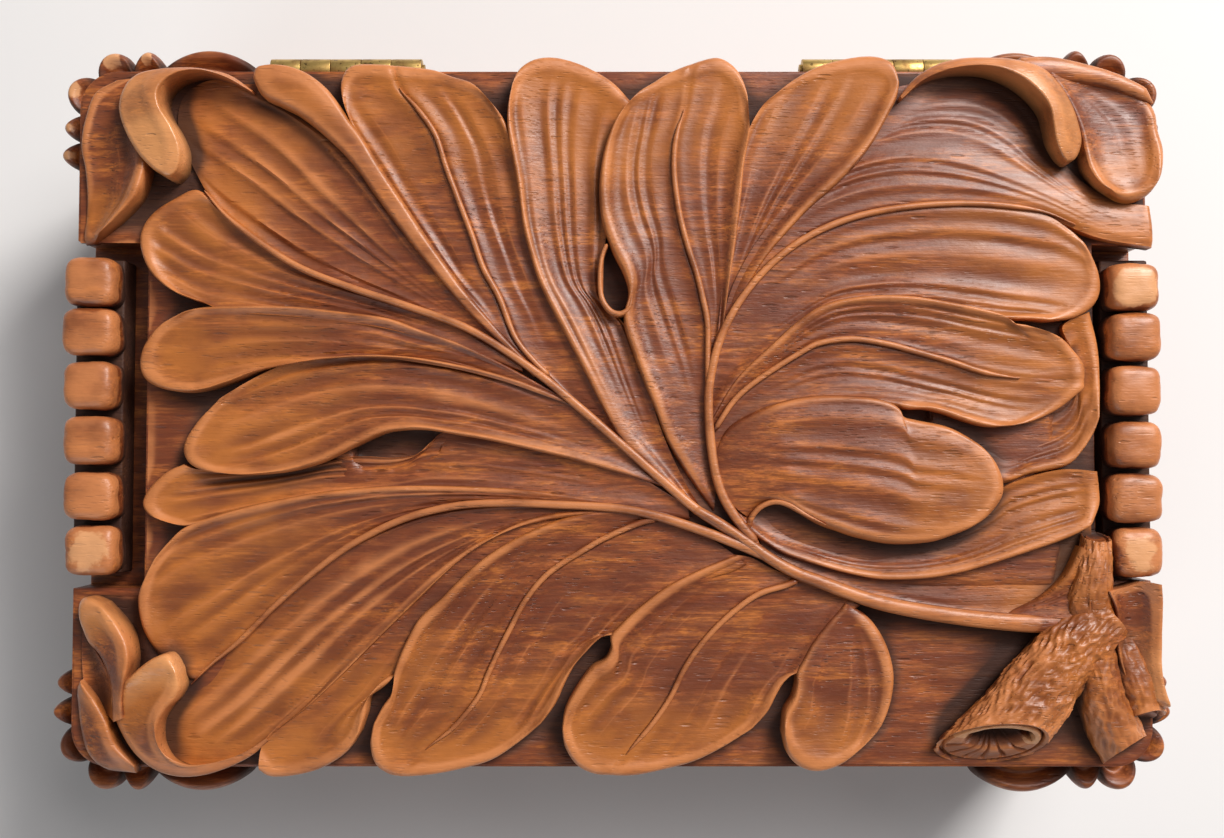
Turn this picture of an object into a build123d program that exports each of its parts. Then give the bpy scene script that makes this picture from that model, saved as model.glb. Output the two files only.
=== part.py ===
from build123d import *
import math
import os

# A small carved walnut box for cigarettes, with a hinged lid. Millimetres throughout.
# +X runs along the box to the right, +Y to the hinges at the back and +Z up.
# The origin is on the table, under the middle of the box.

os.makedirs("parts", exist_ok=True)

# Body boards
box_length = 171.2
box_width = 111.0
rim_height = 40.0
wall_underside_height = 3.0
long_wall_thickness = 9.0
end_wall_thickness = 12.6
wall_corner_radius = 5.0
bottom_board_thickness = 5.0
bottom_board_rebate = 4.0

# Cedar linings and the divider
lining_thickness = 2.0
lining_below_rim = 0.5
divider_thickness = 3.0
divider_top_height = 36.0
divider_groove_depth = 1.0
divider_play = 0.05

# Carved lid
lid_board_thickness = 7.0
lid_corner_radius = 6.0
leaf_bed_height = 1.9
leaf_eye_floor = 0.6
leaf_eye_depth = 5.0
rib_half_breadth = 0.8
rib_height = 3.3
stalk_half_breadth = 1.4
stalk_height = 3.6
vein_half_breadth = 0.45
branch_root_radii = (4.8, 4.0)
branch_end_radii = (7.0, 4.3)
branch_root_rise = 1.2
branch_end_rise = 3.6
branch_let_in = 2.5
branch_clear_height = 20.0
branch_hollow_share = 0.62
branch_hollow_depth = 2.7
sawn_end_height = 3.6
sawn_end_facing = (0.05, -0.7, 0.72)
web_height = 2.9
left_notch_gap = 4.0
left_notch_front_gap = 2.2
left_notch_back_gap = 2.8
right_notch_gap = 1.4
right_notch_front_gap = 1.0
right_notch_back_gap = 2.2
notch_cut_overrun = 1.0
lid_lining_margin = 3.0

# Bead rails
rail_width = 8.4
rail_overhang = 1.1
rail_base_height = 4.6
bead_count = 6
bead_pitch = 8.4
bead_height = 6.0
bead_gap = 0.5
bead_edge_radius = 2.2

# Corner leaves, which are also the feet
leaf_length_long_side = 26.6
leaf_length_end = 14.5
leaf_inner_below_rim = 0.6
leaf_tip_above_rim = 1.5
leaf_foot_out = 5.6
leaf_waist_out = 2.4
leaf_tip_out = 5.6
leaf_foot_inset = 8.0
leaf_waist_inset = 10.0
leaf_end_inset_share = 0.5
leaf_cut_overrun = 10.0
leaf_groove_radius = 1.3
leaf_groove_pitch = 6.7
leaf_grooves_long_side = 3
leaf_grooves_turn_deg = (30.0, 66.0)
leaf_groove_end_from_corner = 7.5

# Hinges
hinge_from_corner_leaf = 2.5
hinge_length = 25.0
hinge_pin_radius = 1.0
hinge_pin_clearance = 0.05
hinge_knuckle_radius = 1.85
hinge_knuckle_count = 5
hinge_knuckle_gap = 0.1
hinge_axis_behind_wall = 2.2
hinge_leaf_thickness = 1.2
hinge_leaf_below_face = 0.1
hinge_leaf_depth = 7.0
hinge_leaf_into_knuckle = 1.0
hinge_pin_overhang = 0.4

# Hinge screws
screw_length = 5.2
screw_shank_radius = 0.8
screw_head_radius = 1.6
screw_head_depth = 0.8
screw_slot_width = 0.4
screw_slot_depth = 0.35
screws_per_leaf = 3
screw_spacing = 8.4

# Heights and half sizes that follow from the ones above
half_length = box_length / 2
half_width = box_width / 2
inner_half_length = half_length - end_wall_thickness
inner_half_width = half_width - long_wall_thickness
bottom_board_top = wall_underside_height + bottom_board_thickness
inner_floor_height = bottom_board_top + lining_thickness
lining_top = rim_height - lining_below_rim
lid_board_top = rim_height + lid_board_thickness
hinge_axis_y = half_width + hinge_axis_behind_wall
leaf_reach_long_side = half_length - leaf_length_long_side
leaf_reach_end = half_width - leaf_length_end
leaf_inner_height = rim_height - leaf_inner_below_rim
leaf_tip_height = rim_height + leaf_tip_above_rim
hinge_centre_x = leaf_reach_long_side - hinge_from_corner_leaf - hinge_length / 2
rail_inner_x = half_length + rail_overhang - rail_width
rail_half_length = bead_count * bead_pitch / 2


def slab(x_low, x_high, y_low, y_high, z_low, z_high):
    """A square-edged board between the six given faces."""
    centre = Location((
        (x_low + x_high) / 2,
        (y_low + y_high) / 2,
        (z_low + z_high) / 2,
    ))
    return centre * Box(x_high - x_low, y_high - y_low, z_high - z_low)


def prism(outline, z_low, z_high):
    """An upright solid on a closed outline of (x, y) points."""
    wire = Polyline(*outline, close=True)
    face = Plane.XY.offset(z_low) * make_face(wire)
    return extrude(face, z_high - z_low)


def rounded_plate(length, width, z_low, z_high, radius):
    """A board with rounded upright corners, centred on the origin."""
    board = slab(-length / 2, length / 2, -width / 2, width / 2, z_low, z_high)
    return fillet(board.edges().filter_by(Axis.Z), radius)


def save(solid, node):
    solid.label = node
    export_step(solid, "parts/" + node + ".step")


# Hinge screw: a slotted countersunk wood screw, head up, its top at the origin
screw_shank = Location((0, 0, -screw_length / 2)) * Cylinder(screw_shank_radius, screw_length)
screw_head = Location((0, 0, -screw_head_depth / 2)) * Cone(
    screw_shank_radius, screw_head_radius, screw_head_depth
)
screw_body = screw_shank + screw_head
screw_slot = Location((0, 0, -screw_slot_depth / 2)) * Box(
    3 * screw_head_radius, screw_slot_width, screw_slot_depth
)
screw = screw_body - screw_slot
body_leaf_top = rim_height - hinge_leaf_below_face
lid_leaf_underside = rim_height + hinge_leaf_below_face
screw_row_y = half_width - hinge_leaf_depth / 2


def screw_places(height, upside_down):
    """Where the screws of both hinges stand in one leaf's face."""
    places = []
    for hinge_x in (-hinge_centre_x, hinge_centre_x):
        for i in range(screws_per_leaf):
            x = hinge_x + (i - (screws_per_leaf - 1) / 2) * screw_spacing
            turn = (180, 0, 0) if upside_down else (0, 0, 0)
            places.append(Location((x, screw_row_y, height), turn))
    return places


body_screw_places = screw_places(body_leaf_top, False)
lid_screw_places = screw_places(lid_leaf_underside, True)
save(Compound([place * screw for place in body_screw_places]), "hinge_screws_body")
save(Compound([place * screw for place in lid_screw_places]), "hinge_screws_lid")

# Hinges: a leaf let into the back wall, one let into the lid, and the pin through both
knuckle_pitch = hinge_length / hinge_knuckle_count
knuckle_length = knuckle_pitch - hinge_knuckle_gap
lid_bore_radius = hinge_pin_radius + hinge_pin_clearance


def knuckle(centre_x, bore_radius):
    ring = Cylinder(hinge_knuckle_radius, knuckle_length) - Cylinder(bore_radius, hinge_length)
    return Location((centre_x, hinge_axis_y, rim_height), (0, 90, 0)) * ring


def hinge_leaf(hinge_x, first_knuckle, z_low, z_high, bore_radius):
    """One leaf: a plate in its mortise and every other knuckle of the barrel."""
    plate_back = half_width
    tab_back = hinge_axis_y - hinge_pin_radius - hinge_pin_clearance
    leaf = slab(
        hinge_x - hinge_length / 2,
        hinge_x + hinge_length / 2,
        half_width - hinge_leaf_depth,
        plate_back,
        z_low,
        z_high,
    )
    for i in range(first_knuckle, hinge_knuckle_count, 2):
        centre_x = hinge_x - hinge_length / 2 + (i + 0.5) * knuckle_pitch
        tab = slab(
            centre_x - knuckle_length / 2,
            centre_x + knuckle_length / 2,
            plate_back - hinge_leaf_into_knuckle,
            tab_back,
            z_low,
            z_high,
        )
        leaf = leaf + tab + knuckle(centre_x, bore_radius)
    return leaf


body_leaf_low = body_leaf_top - hinge_leaf_thickness
lid_leaf_high = lid_leaf_underside + hinge_leaf_thickness
for side, hinge_x in (("left", -hinge_centre_x), ("right", hinge_centre_x)):
    body_leaf = hinge_leaf(hinge_x, 0, body_leaf_low, body_leaf_top, hinge_pin_radius)
    for place in body_screw_places:
        body_leaf = body_leaf - place * screw_body
    save(body_leaf, side + "_hinge_body_leaf")
    lid_leaf = hinge_leaf(hinge_x, 1, lid_leaf_underside, lid_leaf_high, lid_bore_radius)
    for place in lid_screw_places:
        lid_leaf = lid_leaf - place * screw_body
    save(lid_leaf, side + "_hinge_lid_leaf")
    pin = Location((hinge_x, hinge_axis_y, rim_height), (0, 90, 0)) * Cylinder(
        hinge_pin_radius, hinge_length + 2 * hinge_pin_overhang
    )
    save(pin, side + "_hinge_pin")

# Body walls: the long walls run the full length and the end walls stand between them
outer_block = rounded_plate(
    box_length, box_width, wall_underside_height, rim_height, wall_corner_radius
)
bottom_half_length = inner_half_length + bottom_board_rebate
bottom_half_width = inner_half_width + bottom_board_rebate
bottom_board = slab(
    -bottom_half_length,
    bottom_half_length,
    -bottom_half_width,
    bottom_half_width,
    wall_underside_height,
    bottom_board_top,
)
save(bottom_board, "bottom_board")
hollow_block = outer_block - bottom_board
front_wall = hollow_block & slab(
    -half_length, half_length, -half_width, -inner_half_width, wall_underside_height, rim_height
)
save(front_wall, "front_wall")
back_wall = hollow_block & slab(
    -half_length, half_length, inner_half_width, half_width, wall_underside_height, rim_height
)
for hinge_x in (-hinge_centre_x, hinge_centre_x):
    mortise = slab(
        hinge_x - hinge_length / 2,
        hinge_x + hinge_length / 2,
        half_width - hinge_leaf_depth,
        half_width,
        body_leaf_low,
        rim_height,
    )
    back_wall = back_wall - mortise
for place in body_screw_places:
    back_wall = back_wall - place * screw_body
save(back_wall, "back_wall")
for side, x_low, x_high in (
    ("left", -half_length, -inner_half_length),
    ("right", inner_half_length, half_length),
):
    end_wall = hollow_block & slab(
        x_low, x_high, -inner_half_width, inner_half_width, wall_underside_height, rim_height
    )
    save(end_wall, side + "_end_wall")

# Bead rails: one at each end, standing on the end wall inside the notch of the lid
for side, direction in (("left", -1), ("right", 1)):
    rail_x = direction * (rail_inner_x + rail_width / 2)
    rail = slab(
        rail_x - rail_width / 2,
        rail_x + rail_width / 2,
        -rail_half_length,
        rail_half_length,
        rim_height,
        rim_height + rail_base_height,
    )
    bead_block = Box(rail_width, bead_pitch - bead_gap, bead_height)
    bead_edges = bead_block.edges().filter_by(Axis.Z) + bead_block.faces().sort_by(Axis.Z)[-1].edges()
    bead = fillet(bead_edges, bead_edge_radius)
    for i in range(bead_count):
        bead_y = -rail_half_length + (i + 0.5) * bead_pitch
        bead_z = rim_height + rail_base_height + bead_height / 2
        rail = rail + Location((rail_x, bead_y, bead_z)) * bead
    save(rail, side + "_bead_rail")

# Cedar linings: thin boards glued to the four walls and the floor
lining_half_length = inner_half_length - lining_thickness
lining_half_width = inner_half_width - lining_thickness
floor_lining = slab(
    -inner_half_length,
    inner_half_length,
    -inner_half_width,
    inner_half_width,
    bottom_board_top,
    inner_floor_height,
)
save(floor_lining, "floor_lining")
divider_half = divider_thickness / 2
groove = slab(
    -divider_half - divider_play,
    divider_half + divider_play,
    -lining_half_width - divider_groove_depth,
    lining_half_width + divider_groove_depth,
    inner_floor_height,
    rim_height,
)
front_lining = slab(
    -inner_half_length,
    inner_half_length,
    -inner_half_width,
    -lining_half_width,
    inner_floor_height,
    lining_top,
)
save(front_lining - groove, "front_lining")
back_lining = slab(
    -inner_half_length,
    inner_half_length,
    lining_half_width,
    inner_half_width,
    inner_floor_height,
    lining_top,
)
save(back_lining - groove, "back_lining")
for side, x_low, x_high in (
    ("left", -inner_half_length, -lining_half_length),
    ("right", lining_half_length, inner_half_length),
):
    end_lining = slab(
        x_low, x_high, -lining_half_width, lining_half_width, inner_floor_height, lining_top
    )
    save(end_lining, side + "_lining")
divider = slab(
    -divider_half,
    divider_half,
    -lining_half_width - divider_groove_depth,
    lining_half_width + divider_groove_depth,
    inner_floor_height,
    divider_top_height,
)
save(divider, "divider")

# Corner leaves: a leaf folded round each corner, curled out at the foot and at the rim
leaf_profile = [
    (0.79 * leaf_foot_out, 0.0),
    (leaf_foot_out, 0.063 * leaf_tip_height),
    (0.86 * leaf_foot_out, 0.157 * leaf_tip_height),
    (1.25 * leaf_waist_out, 0.29 * leaf_tip_height),
    (leaf_waist_out, 0.48 * leaf_tip_height),
    (1.25 * leaf_waist_out, 0.65 * leaf_tip_height),
    (0.79 * leaf_tip_out, 0.795 * leaf_tip_height),
    (leaf_tip_out, 0.916 * leaf_tip_height),
    (0.82 * leaf_tip_out, leaf_tip_height),
    (0.54 * leaf_tip_out, (leaf_tip_height + leaf_inner_height) / 2),
    (0.39 * leaf_tip_out, leaf_inner_height),
]
arc_centre_x = half_length - wall_corner_radius
arc_centre_y = half_width - wall_corner_radius


def leaf_face(plane, wall_distance):
    """The upright section of the leaf, from the wall's face outwards."""
    points = [(wall_distance + out, height) for out, height in leaf_profile]
    outer_edge = Spline(*points)
    base = Line((wall_distance, 0), points[0])
    top = Line(points[-1], (wall_distance, leaf_inner_height))
    back = Line((wall_distance, leaf_inner_height), (wall_distance, 0))
    return plane * make_face(Curve() + [base, outer_edge, top, back])


long_side_plane = Plane(origin=(arc_centre_x, 0, 0), x_dir=(0, 1, 0), z_dir=(1, 0, 0))
end_plane = Plane(origin=(0, arc_centre_y, 0), x_dir=(1, 0, 0), z_dir=(0, -1, 0))
turn_plane = Plane(origin=(arc_centre_x, arc_centre_y, 0), x_dir=(0, 1, 0), z_dir=(1, 0, 0))
long_side_length = arc_centre_x - leaf_reach_long_side
end_side_length = arc_centre_y - leaf_reach_end
long_side_leaf = extrude(leaf_face(long_side_plane, half_width), -long_side_length)
end_side_leaf = extrude(leaf_face(end_plane, half_length), end_side_length)
turn_axis = Axis((arc_centre_x, arc_centre_y, 0), (0, 0, 1))
turned_leaf = revolve(leaf_face(turn_plane, wall_corner_radius), turn_axis, -90)
corner_leaf = long_side_leaf + turned_leaf + end_side_leaf

# Side outline of the corner leaf: narrow above the foot, spreading towards the rim
side_outline_shares = [
    (0.8 * leaf_foot_inset, 0.0),
    (0.55 * leaf_foot_inset, 0.12),
    (leaf_waist_inset, 0.32),
    (0.6 * leaf_waist_inset, 0.51),
    (0.1 * leaf_waist_inset, 0.68),
    (0.0, 0.82),
    (0.2 * leaf_waist_inset, 1.0),
]


def leaf_side_outline(reach, half_size, inset_share):
    """The cut's outline on one side: (place along the wall, height) points."""
    far = half_size + leaf_cut_overrun
    points = [(far, 0.0)]
    for inset, height_share in side_outline_shares:
        points.append((reach + inset_share * inset, height_share * leaf_tip_height))
    points.append((far, leaf_tip_height))
    return points


long_side_outline = leaf_side_outline(leaf_reach_long_side, half_length, 1.0)
end_outline = leaf_side_outline(leaf_reach_end, half_width, leaf_end_inset_share)
long_cutter = extrude(Plane.XZ * make_face(Polyline(*long_side_outline, close=True)), -box_width)
end_cutter = extrude(Plane.YZ * make_face(Polyline(*end_outline, close=True)), box_length)
corner_leaf = corner_leaf & long_cutter & end_cutter

# Grooves that part the leaf's lobes below the rim
groove_height = leaf_tip_height / 2
groove_z = leaf_tip_height - groove_height / 2
groove_out = leaf_tip_out
turn_reach = wall_corner_radius + groove_out
groove_places = []
for i in range(leaf_grooves_long_side):
    groove_places.append((
        leaf_reach_long_side + (i + 1) * leaf_groove_pitch,
        half_width + groove_out,
    ))
for turn_angle in leaf_grooves_turn_deg:
    groove_places.append((
        arc_centre_x + turn_reach * math.cos(math.radians(turn_angle)),
        arc_centre_y + turn_reach * math.sin(math.radians(turn_angle)),
    ))
groove_places.append((half_length + groove_out, half_width - leaf_groove_end_from_corner))
for groove_x, groove_y in groove_places:
    place = Location((groove_x, groove_y, groove_z))
    corner_leaf = corner_leaf - place * Cylinder(leaf_groove_radius, groove_height)

save(corner_leaf, "back_right_corner_leaf")
save(mirror(corner_leaf, Plane.YZ), "back_left_corner_leaf")
save(mirror(corner_leaf, Plane.XZ), "front_right_corner_leaf")
save(mirror(mirror(corner_leaf, Plane.XZ), Plane.YZ), "front_left_corner_leaf")

# Carved lid, ground board: one thick board, let out below for its lining and hinges
lid = rounded_plate(box_length, box_width, rim_height, lid_board_top, lid_corner_radius)
lid_lining_half_length = inner_half_length - lid_lining_margin
lid_lining_half_width = inner_half_width - lid_lining_margin
lid_lining = slab(
    -lid_lining_half_length,
    lid_lining_half_length,
    -lid_lining_half_width,
    lid_lining_half_width,
    rim_height,
    rim_height + lining_thickness,
)
save(lid_lining, "lid_lining")
lid = lid - lid_lining
for hinge_x in (-hinge_centre_x, hinge_centre_x):
    mortise = slab(
        hinge_x - hinge_length / 2,
        hinge_x + hinge_length / 2,
        half_width - hinge_leaf_depth,
        half_width,
        rim_height,
        lid_leaf_high,
    )
    lid = lid - mortise
for place in lid_screw_places:
    lid = lid - place * screw_body

# Carved lid, outlines: drawn for a lid of this size, and stretched to the lid's own
drawn_half_length = 85.6
drawn_half_width = 55.5


def on_lid(points):
    stretch_x = half_length / drawn_half_length
    stretch_y = half_width / drawn_half_width
    return [(x * stretch_x, y * stretch_y) for x, y in points]


def raised(outline, height):
    """A flat-topped form that stands up from the lid's board."""
    return prism(on_lid(outline), lid_board_top, lid_board_top + height)


def cord(line, half_breadth, height):
    """A raised cord of even breadth along a line of (x, y) points."""
    left_side = []
    right_side = []
    for i, (x, y) in enumerate(line):
        before_x, before_y = line[max(i - 1, 0)]
        after_x, after_y = line[min(i + 1, len(line) - 1)]
        run = math.hypot(after_x - before_x, after_y - before_y)
        across_x = -(after_y - before_y) / run * half_breadth
        across_y = (after_x - before_x) / run * half_breadth
        left_side.append((x + across_x, y + across_y))
        right_side.append((x - across_x, y - across_y))
    return raised(left_side + right_side[::-1], height)


# Carved lid, leaf bed: the low ground inside the leaf, where its lobes run together
leaf_bed = [
    (-64.8, 13.4), (-60.0, 28.9), (-44.5, 26.0), (-38.2, 37.2), (-27.1, 24.5), (-14.5, 41.9),
    (-1.9, 15.0), (12.3, 26.0), (23.3, 24.1), (45.4, 18.1), (60.9, 2.4), (60.7, -19.6), (38.8, -27.4),
    (23.1, -25.0), (4.4, -32.0), (-14.4, -28.9), (-30.0, -28.9), (-44.1, -22.7), (-56.7, -13.3),
    (-58.4, 2.4),
]
lid = lid + raised(leaf_bed, leaf_bed_height)

# Carved lid, lobes: the height of each above the board, and its outline
lobes = [
    # the low fluted beds, at the back left, back right, right and front right
    (1.7, [
        (-12.9, 7.7), (-33.4, 17.2), (-49.2, 22.9), (-61.1, 31.1), (-66.7, 35.6), (-69.6, 41.9),
        (-69.7, 49.1), (-66.9, 53.1), (-57.1, 54.4), (-44.6, 46.7), (-33.5, 32.4), (-20.8, 16.5),
    ]),
    (1.6, [
        (15.7, 5.5), (19.4, 15.0), (28.1, 31.6), (37.6, 41.9), (42.4, 50.7), (52.8, 54.7),
        (64.3, 53.1), (70.9, 43.5), (77.1, 36.4), (85.8, 34.3), (85.7, 27.2), (76.2, 28.3),
        (61.2, 30.0), (45.4, 27.6), (29.6, 19.7),
    ]),
    (1.9, [
        (45.2, 2.4), (65.8, 11.8), (73.7, 15.3), (77.3, 13.4), (77.1, 2.4), (75.8, -3.0), (73.4, -7.1),
        (67.1, -9.9), (60.8, -11.1), (51.4, -5.5),
    ]),
    (1.8, [
        (20.0, -16.5), (29.4, -20.4), (52.9, -21.1), (73.3, -15.8), (75.8, -18.0), (75.6, -28.9),
        (73.1, -31.7), (54.3, -32.0), (38.7, -28.9), (26.3, -23.5),
    ]),
    # the left edge of the second lobe, rolled over the first
    (3.8, [
        (-11.6, 6.1), (-22.4, 15.3), (-32.7, 27.6), (-41.4, 39.4), (-49.4, 47.0), (-56.1, 51.5),
        (-56.7, 54.4), (-53.4, 55.8), (-47.5, 53.8), (-41.5, 47.0), (-34.8, 36.5), (-27.4, 25.7),
        (-18.6, 14.6),
    ]),
    # along the back, from the left
    (2.7, [
        (2.5, -5.0), (-8.2, 3.9), (-22.4, 16.5), (-33.5, 32.4), (-41.1, 45.1), (-43.1, 52.5),
        (-40.0, 56.2), (-34.9, 56.0), (-25.7, 54.2), (-18.7, 49.3), (-11.4, 46.7), (-8.2, 26.0),
        (-1.9, 11.8), (4.4, 2.4),
    ]),
    (3.2, [
        (13.8, -14.3), (4.4, -6.3), (-4.7, 7.1), (-10.6, 18.8), (-14.0, 29.8), (-16.3, 44.3),
        (-15.8, 52.2), (-12.4, 56.6), (-6.2, 56.5), (1.3, 52.5), (6.0, 48.3), (4.4, 34.0), (4.4, 19.7),
        (7.5, 2.4), (12.2, -8.6),
    ]),
    (3.6, [
        (15.7, -13.3), (11.6, -9.3), (6.9, 0.8), (3.0, 10.2), (0.9, 15.0), (2.5, 18.4), (0.0, 26.0),
        (-1.9, 35.6), (-1.3, 41.6), (2.5, 49.3), (6.7, 53.0), (12.7, 56.2), (18.9, 56.2), (21.5, 51.2),
        (21.4, 41.9), (19.7, 27.5), (17.3, 11.0),
    ]),
    (3.1, [
        (15.7, 5.5), (17.3, 21.3), (18.6, 37.2), (19.9, 45.1), (23.8, 49.0), (28.8, 53.4),
        (33.0, 55.7), (40.3, 57.1), (45.5, 53.1), (43.7, 47.4), (37.6, 38.8), (29.0, 30.2),
        (22.5, 21.6), (18.6, 13.4),
    ]),
    # along the right end
    (2.9, [
        (16.0, -0.8), (19.4, 13.4), (25.7, 24.1), (37.6, 31.1), (50.2, 33.3), (66.0, 32.5),
        (73.8, 28.9), (77.4, 22.9), (76.5, 18.1), (72.1, 14.2), (65.8, 11.8), (53.2, 11.8),
        (37.5, 13.4), (24.8, 8.7),
    ]),
    (3.4, [
        (16.3, -4.9), (17.3, 0.8), (24.9, 10.9), (33.9, 17.6), (46.5, 18.8), (58.3, 16.7),
        (63.0, 14.6), (68.9, 13.2), (73.3, 9.9), (74.8, 5.2), (70.3, 0.9), (64.0, -1.9), (54.6, -1.4),
        (45.2, -0.8), (29.5, -2.4), (20.1, -5.5),
    ]),
    (2.5, [
        (18.7, -7.1), (23.2, -10.2), (32.6, -13.3), (49.8, -13.3), (61.6, -11.4), (70.2, -8.3),
        (76.5, -8.6), (76.7, -14.9), (70.1, -19.6), (58.9, -23.5), (46.0, -25.8), (34.1, -24.3),
        (24.2, -20.2), (19.3, -14.1),
    ]),
    (4.4, [
        (17.6, -5.8), (20.1, -1.4), (25.6, 1.9), (38.5, 3.1), (44.8, 1.4), (52.7, -1.9), (58.5, -5.5),
        (61.1, -10.5), (59.5, -14.6), (54.5, -18.5), (43.6, -20.2), (35.4, -18.3), (28.7, -14.6),
        (23.7, -13.8), (20.4, -13.3), (18.5, -9.4),
    ]),
    # along the left end, from the back
    (2.2, [
        (-14.5, 8.7), (-33.4, 17.5), (-49.2, 23.2), (-61.1, 31.4), (-66.7, 36.2), (-72.9, 32.7),
        (-74.9, 26.7), (-72.8, 22.6), (-65.5, 18.0), (-58.4, 15.8), (-49.1, 13.4), (-33.3, 10.2),
        (-20.7, 6.8), (-12.9, 4.7),
    ]),
    (3.4, [
        (-1.9, -2.4), (-11.3, 5.8), (-23.9, 11.8), (-35.3, 15.6), (-50.1, 17.3), (-64.4, 17.0),
        (-71.5, 14.2), (-74.5, 8.0), (-72.6, 4.9), (-66.8, 3.6), (-59.1, 5.5), (-49.1, 8.5),
        (-34.9, 9.4), (-22.3, 7.4), (-11.3, 2.7), (-4.6, -2.4),
    ]),
    (3.1, [
        (6.7, -11.1), (-1.9, -1.6), (-14.5, 7.1), (-30.2, 11.8), (-43.6, 11.0), (-55.3, 7.1),
        (-63.9, 1.6), (-67.5, -4.9), (-66.2, -7.8), (-59.6, -9.3), (-50.6, -8.9), (-41.4, -5.5),
        (-35.6, -2.8), (-28.6, -2.4), (-18.8, -4.1), (-5.6, -7.2),
    ]),
    (1.8, [
        (10.6, -15.2), (-1.9, -7.1), (-17.6, -2.4), (-36.4, -1.6), (-52.1, -6.3), (-67.7, -7.4),
        (-73.0, -11.3), (-73.9, -14.1), (-69.5, -16.9), (-59.8, -17.2), (-44.2, -14.9), (-20.7, -13.3),
        (-1.9, -15.2),
    ]),
    (2.6, [
        (12.2, -17.4), (-1.9, -13.2), (-11.3, -11.9), (-33.2, -11.1), (-53.6, -13.5), (-66.4, -17.2),
        (-71.5, -22.4), (-74.2, -28.1), (-73.7, -33.3), (-68.6, -40.3), (-65.0, -42.9), (-58.0, -35.9),
        (-47.2, -25.8), (-33.2, -17.2), (-17.5, -14.6), (1.3, -15.2),
    ]),
    # along the front, from the left
    (2.5, [
        (4.4, -15.8), (-17.5, -14.1), (-33.2, -16.8), (-47.2, -25.5), (-58.0, -35.4), (-68.6, -42.9),
        (-69.3, -49.1), (-67.2, -54.0), (-61.7, -55.2), (-55.4, -52.2), (-48.6, -47.5), (-41.6, -42.9),
        (-30.0, -32.0), (-17.5, -21.9), (-8.1, -17.2),
    ]),
    (2.8, [
        (4.4, -16.1), (-10.5, -15.7), (-24.6, -22.2), (-36.4, -33.4), (-48.0, -44.7), (-54.5, -51.5),
        (-55.0, -55.2), (-49.4, -56.0), (-41.5, -52.6), (-38.9, -49.5), (-36.8, -42.4), (-33.1, -39.8),
        (-29.3, -35.1), (-20.6, -26.6), (-7.2, -18.0),
    ]),
    (3.1, [
        (12.2, -17.7), (-1.1, -14.9), (-13.1, -18.3), (-22.7, -24.6), (-30.3, -32.0), (-33.8, -39.5),
        (-34.4, -43.5), (-37.7, -50.6), (-37.0, -54.2), (-33.0, -55.9), (-22.5, -54.9), (-14.3, -50.8),
        (-8.7, -44.9), (-5.5, -38.7), (-1.7, -34.8), (3.6, -33.9), (13.8, -27.4), (20.8, -23.9),
    ]),
    (3.3, [
        (19.2, -21.9), (8.0, -27.2), (1.1, -33.0), (-1.2, -38.2), (-5.6, -42.6), (-7.8, -48.8),
        (-7.2, -52.5), (-3.1, -55.7), (4.4, -55.9), (12.8, -54.0), (21.8, -48.9), (25.7, -43.8),
        (28.2, -40.7), (31.5, -38.1), (39.0, -30.2), (30.9, -26.6),
    ]),
    (3.2, [
        (37.2, -29.5), (31.5, -35.3), (29.0, -40.1), (28.2, -44.0), (26.5, -49.5), (27.4, -52.9),
        (32.3, -55.4), (39.2, -51.4), (43.5, -44.9), (44.1, -40.9), (42.4, -34.4), (39.8, -30.8),
    ]),
]
for lobe_height, outline in lobes:
    lid = lid + raised(outline, lobe_height)

# Carved lid, eyes: the deep holes where one lobe's edge turns away from the next
eyes = [
    [(-0.9, 24.1), (0.3, 25.4), (2.2, 22.1), (2.5, 18.8), (1.1, 16.2), (-0.5, 16.4), (-1.4, 18.4)],
    [
        (-38.0, -4.9), (-35.6, -3.3), (-32.5, -2.5), (-28.6, -2.5), (-29.5, -4.9), (-32.5, -6.4),
        (-35.6, -6.6),
    ],
    [(44.4, 2.0), (47.6, 2.4), (51.3, 1.1), (50.9, -0.8), (47.6, -0.9), (45.5, -0.0)],
    [(-36.8, -42.9), (-34.9, -40.7), (-33.7, -40.1), (-34.3, -43.5), (-37.4, -49.1)],
]
for outline in eyes:
    eye_bottom = lid_board_top + leaf_eye_floor
    lid = lid - prism(on_lid(outline), eye_bottom, eye_bottom + leaf_eye_depth)

# Carved lid, ribs: the leaf's three ribs, its stalk, and the veins of the lobes that have one
back_rib = [
    (24.7, -22.1), (13.8, -15.2), (1.3, -4.4), (-11.3, 6.3), (-23.9, 14.2), (-41.3, 20.2),
    (-55.5, 27.2), (-64.6, 35.6),
]
right_rib = [
    (23.2, -20.8), (17.1, -11.8), (15.2, 2.4), (17.3, 12.6), (24.9, 23.7), (39.2, 31.6), (58.1, 33.5),
    (73.5, 30.2),
]
front_rib = [
    (25.5, -22.7), (13.8, -18.0), (1.3, -14.7), (-17.5, -13.8), (-33.2, -16.5), (-47.2, -25.0),
    (-58.0, -35.1), (-65.8, -42.1),
]
stalk = [(20.8, -19.3), (28.6, -24.6), (41.9, -29.4), (54.3, -31.6), (66.8, -32.7), (74.6, -32.0)]
for line in (back_rib, right_rib, front_rib):
    lid = lid + cord(line, rib_half_breadth, rib_height)
lid = lid + cord(stalk, stalk_half_breadth, stalk_height)
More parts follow.
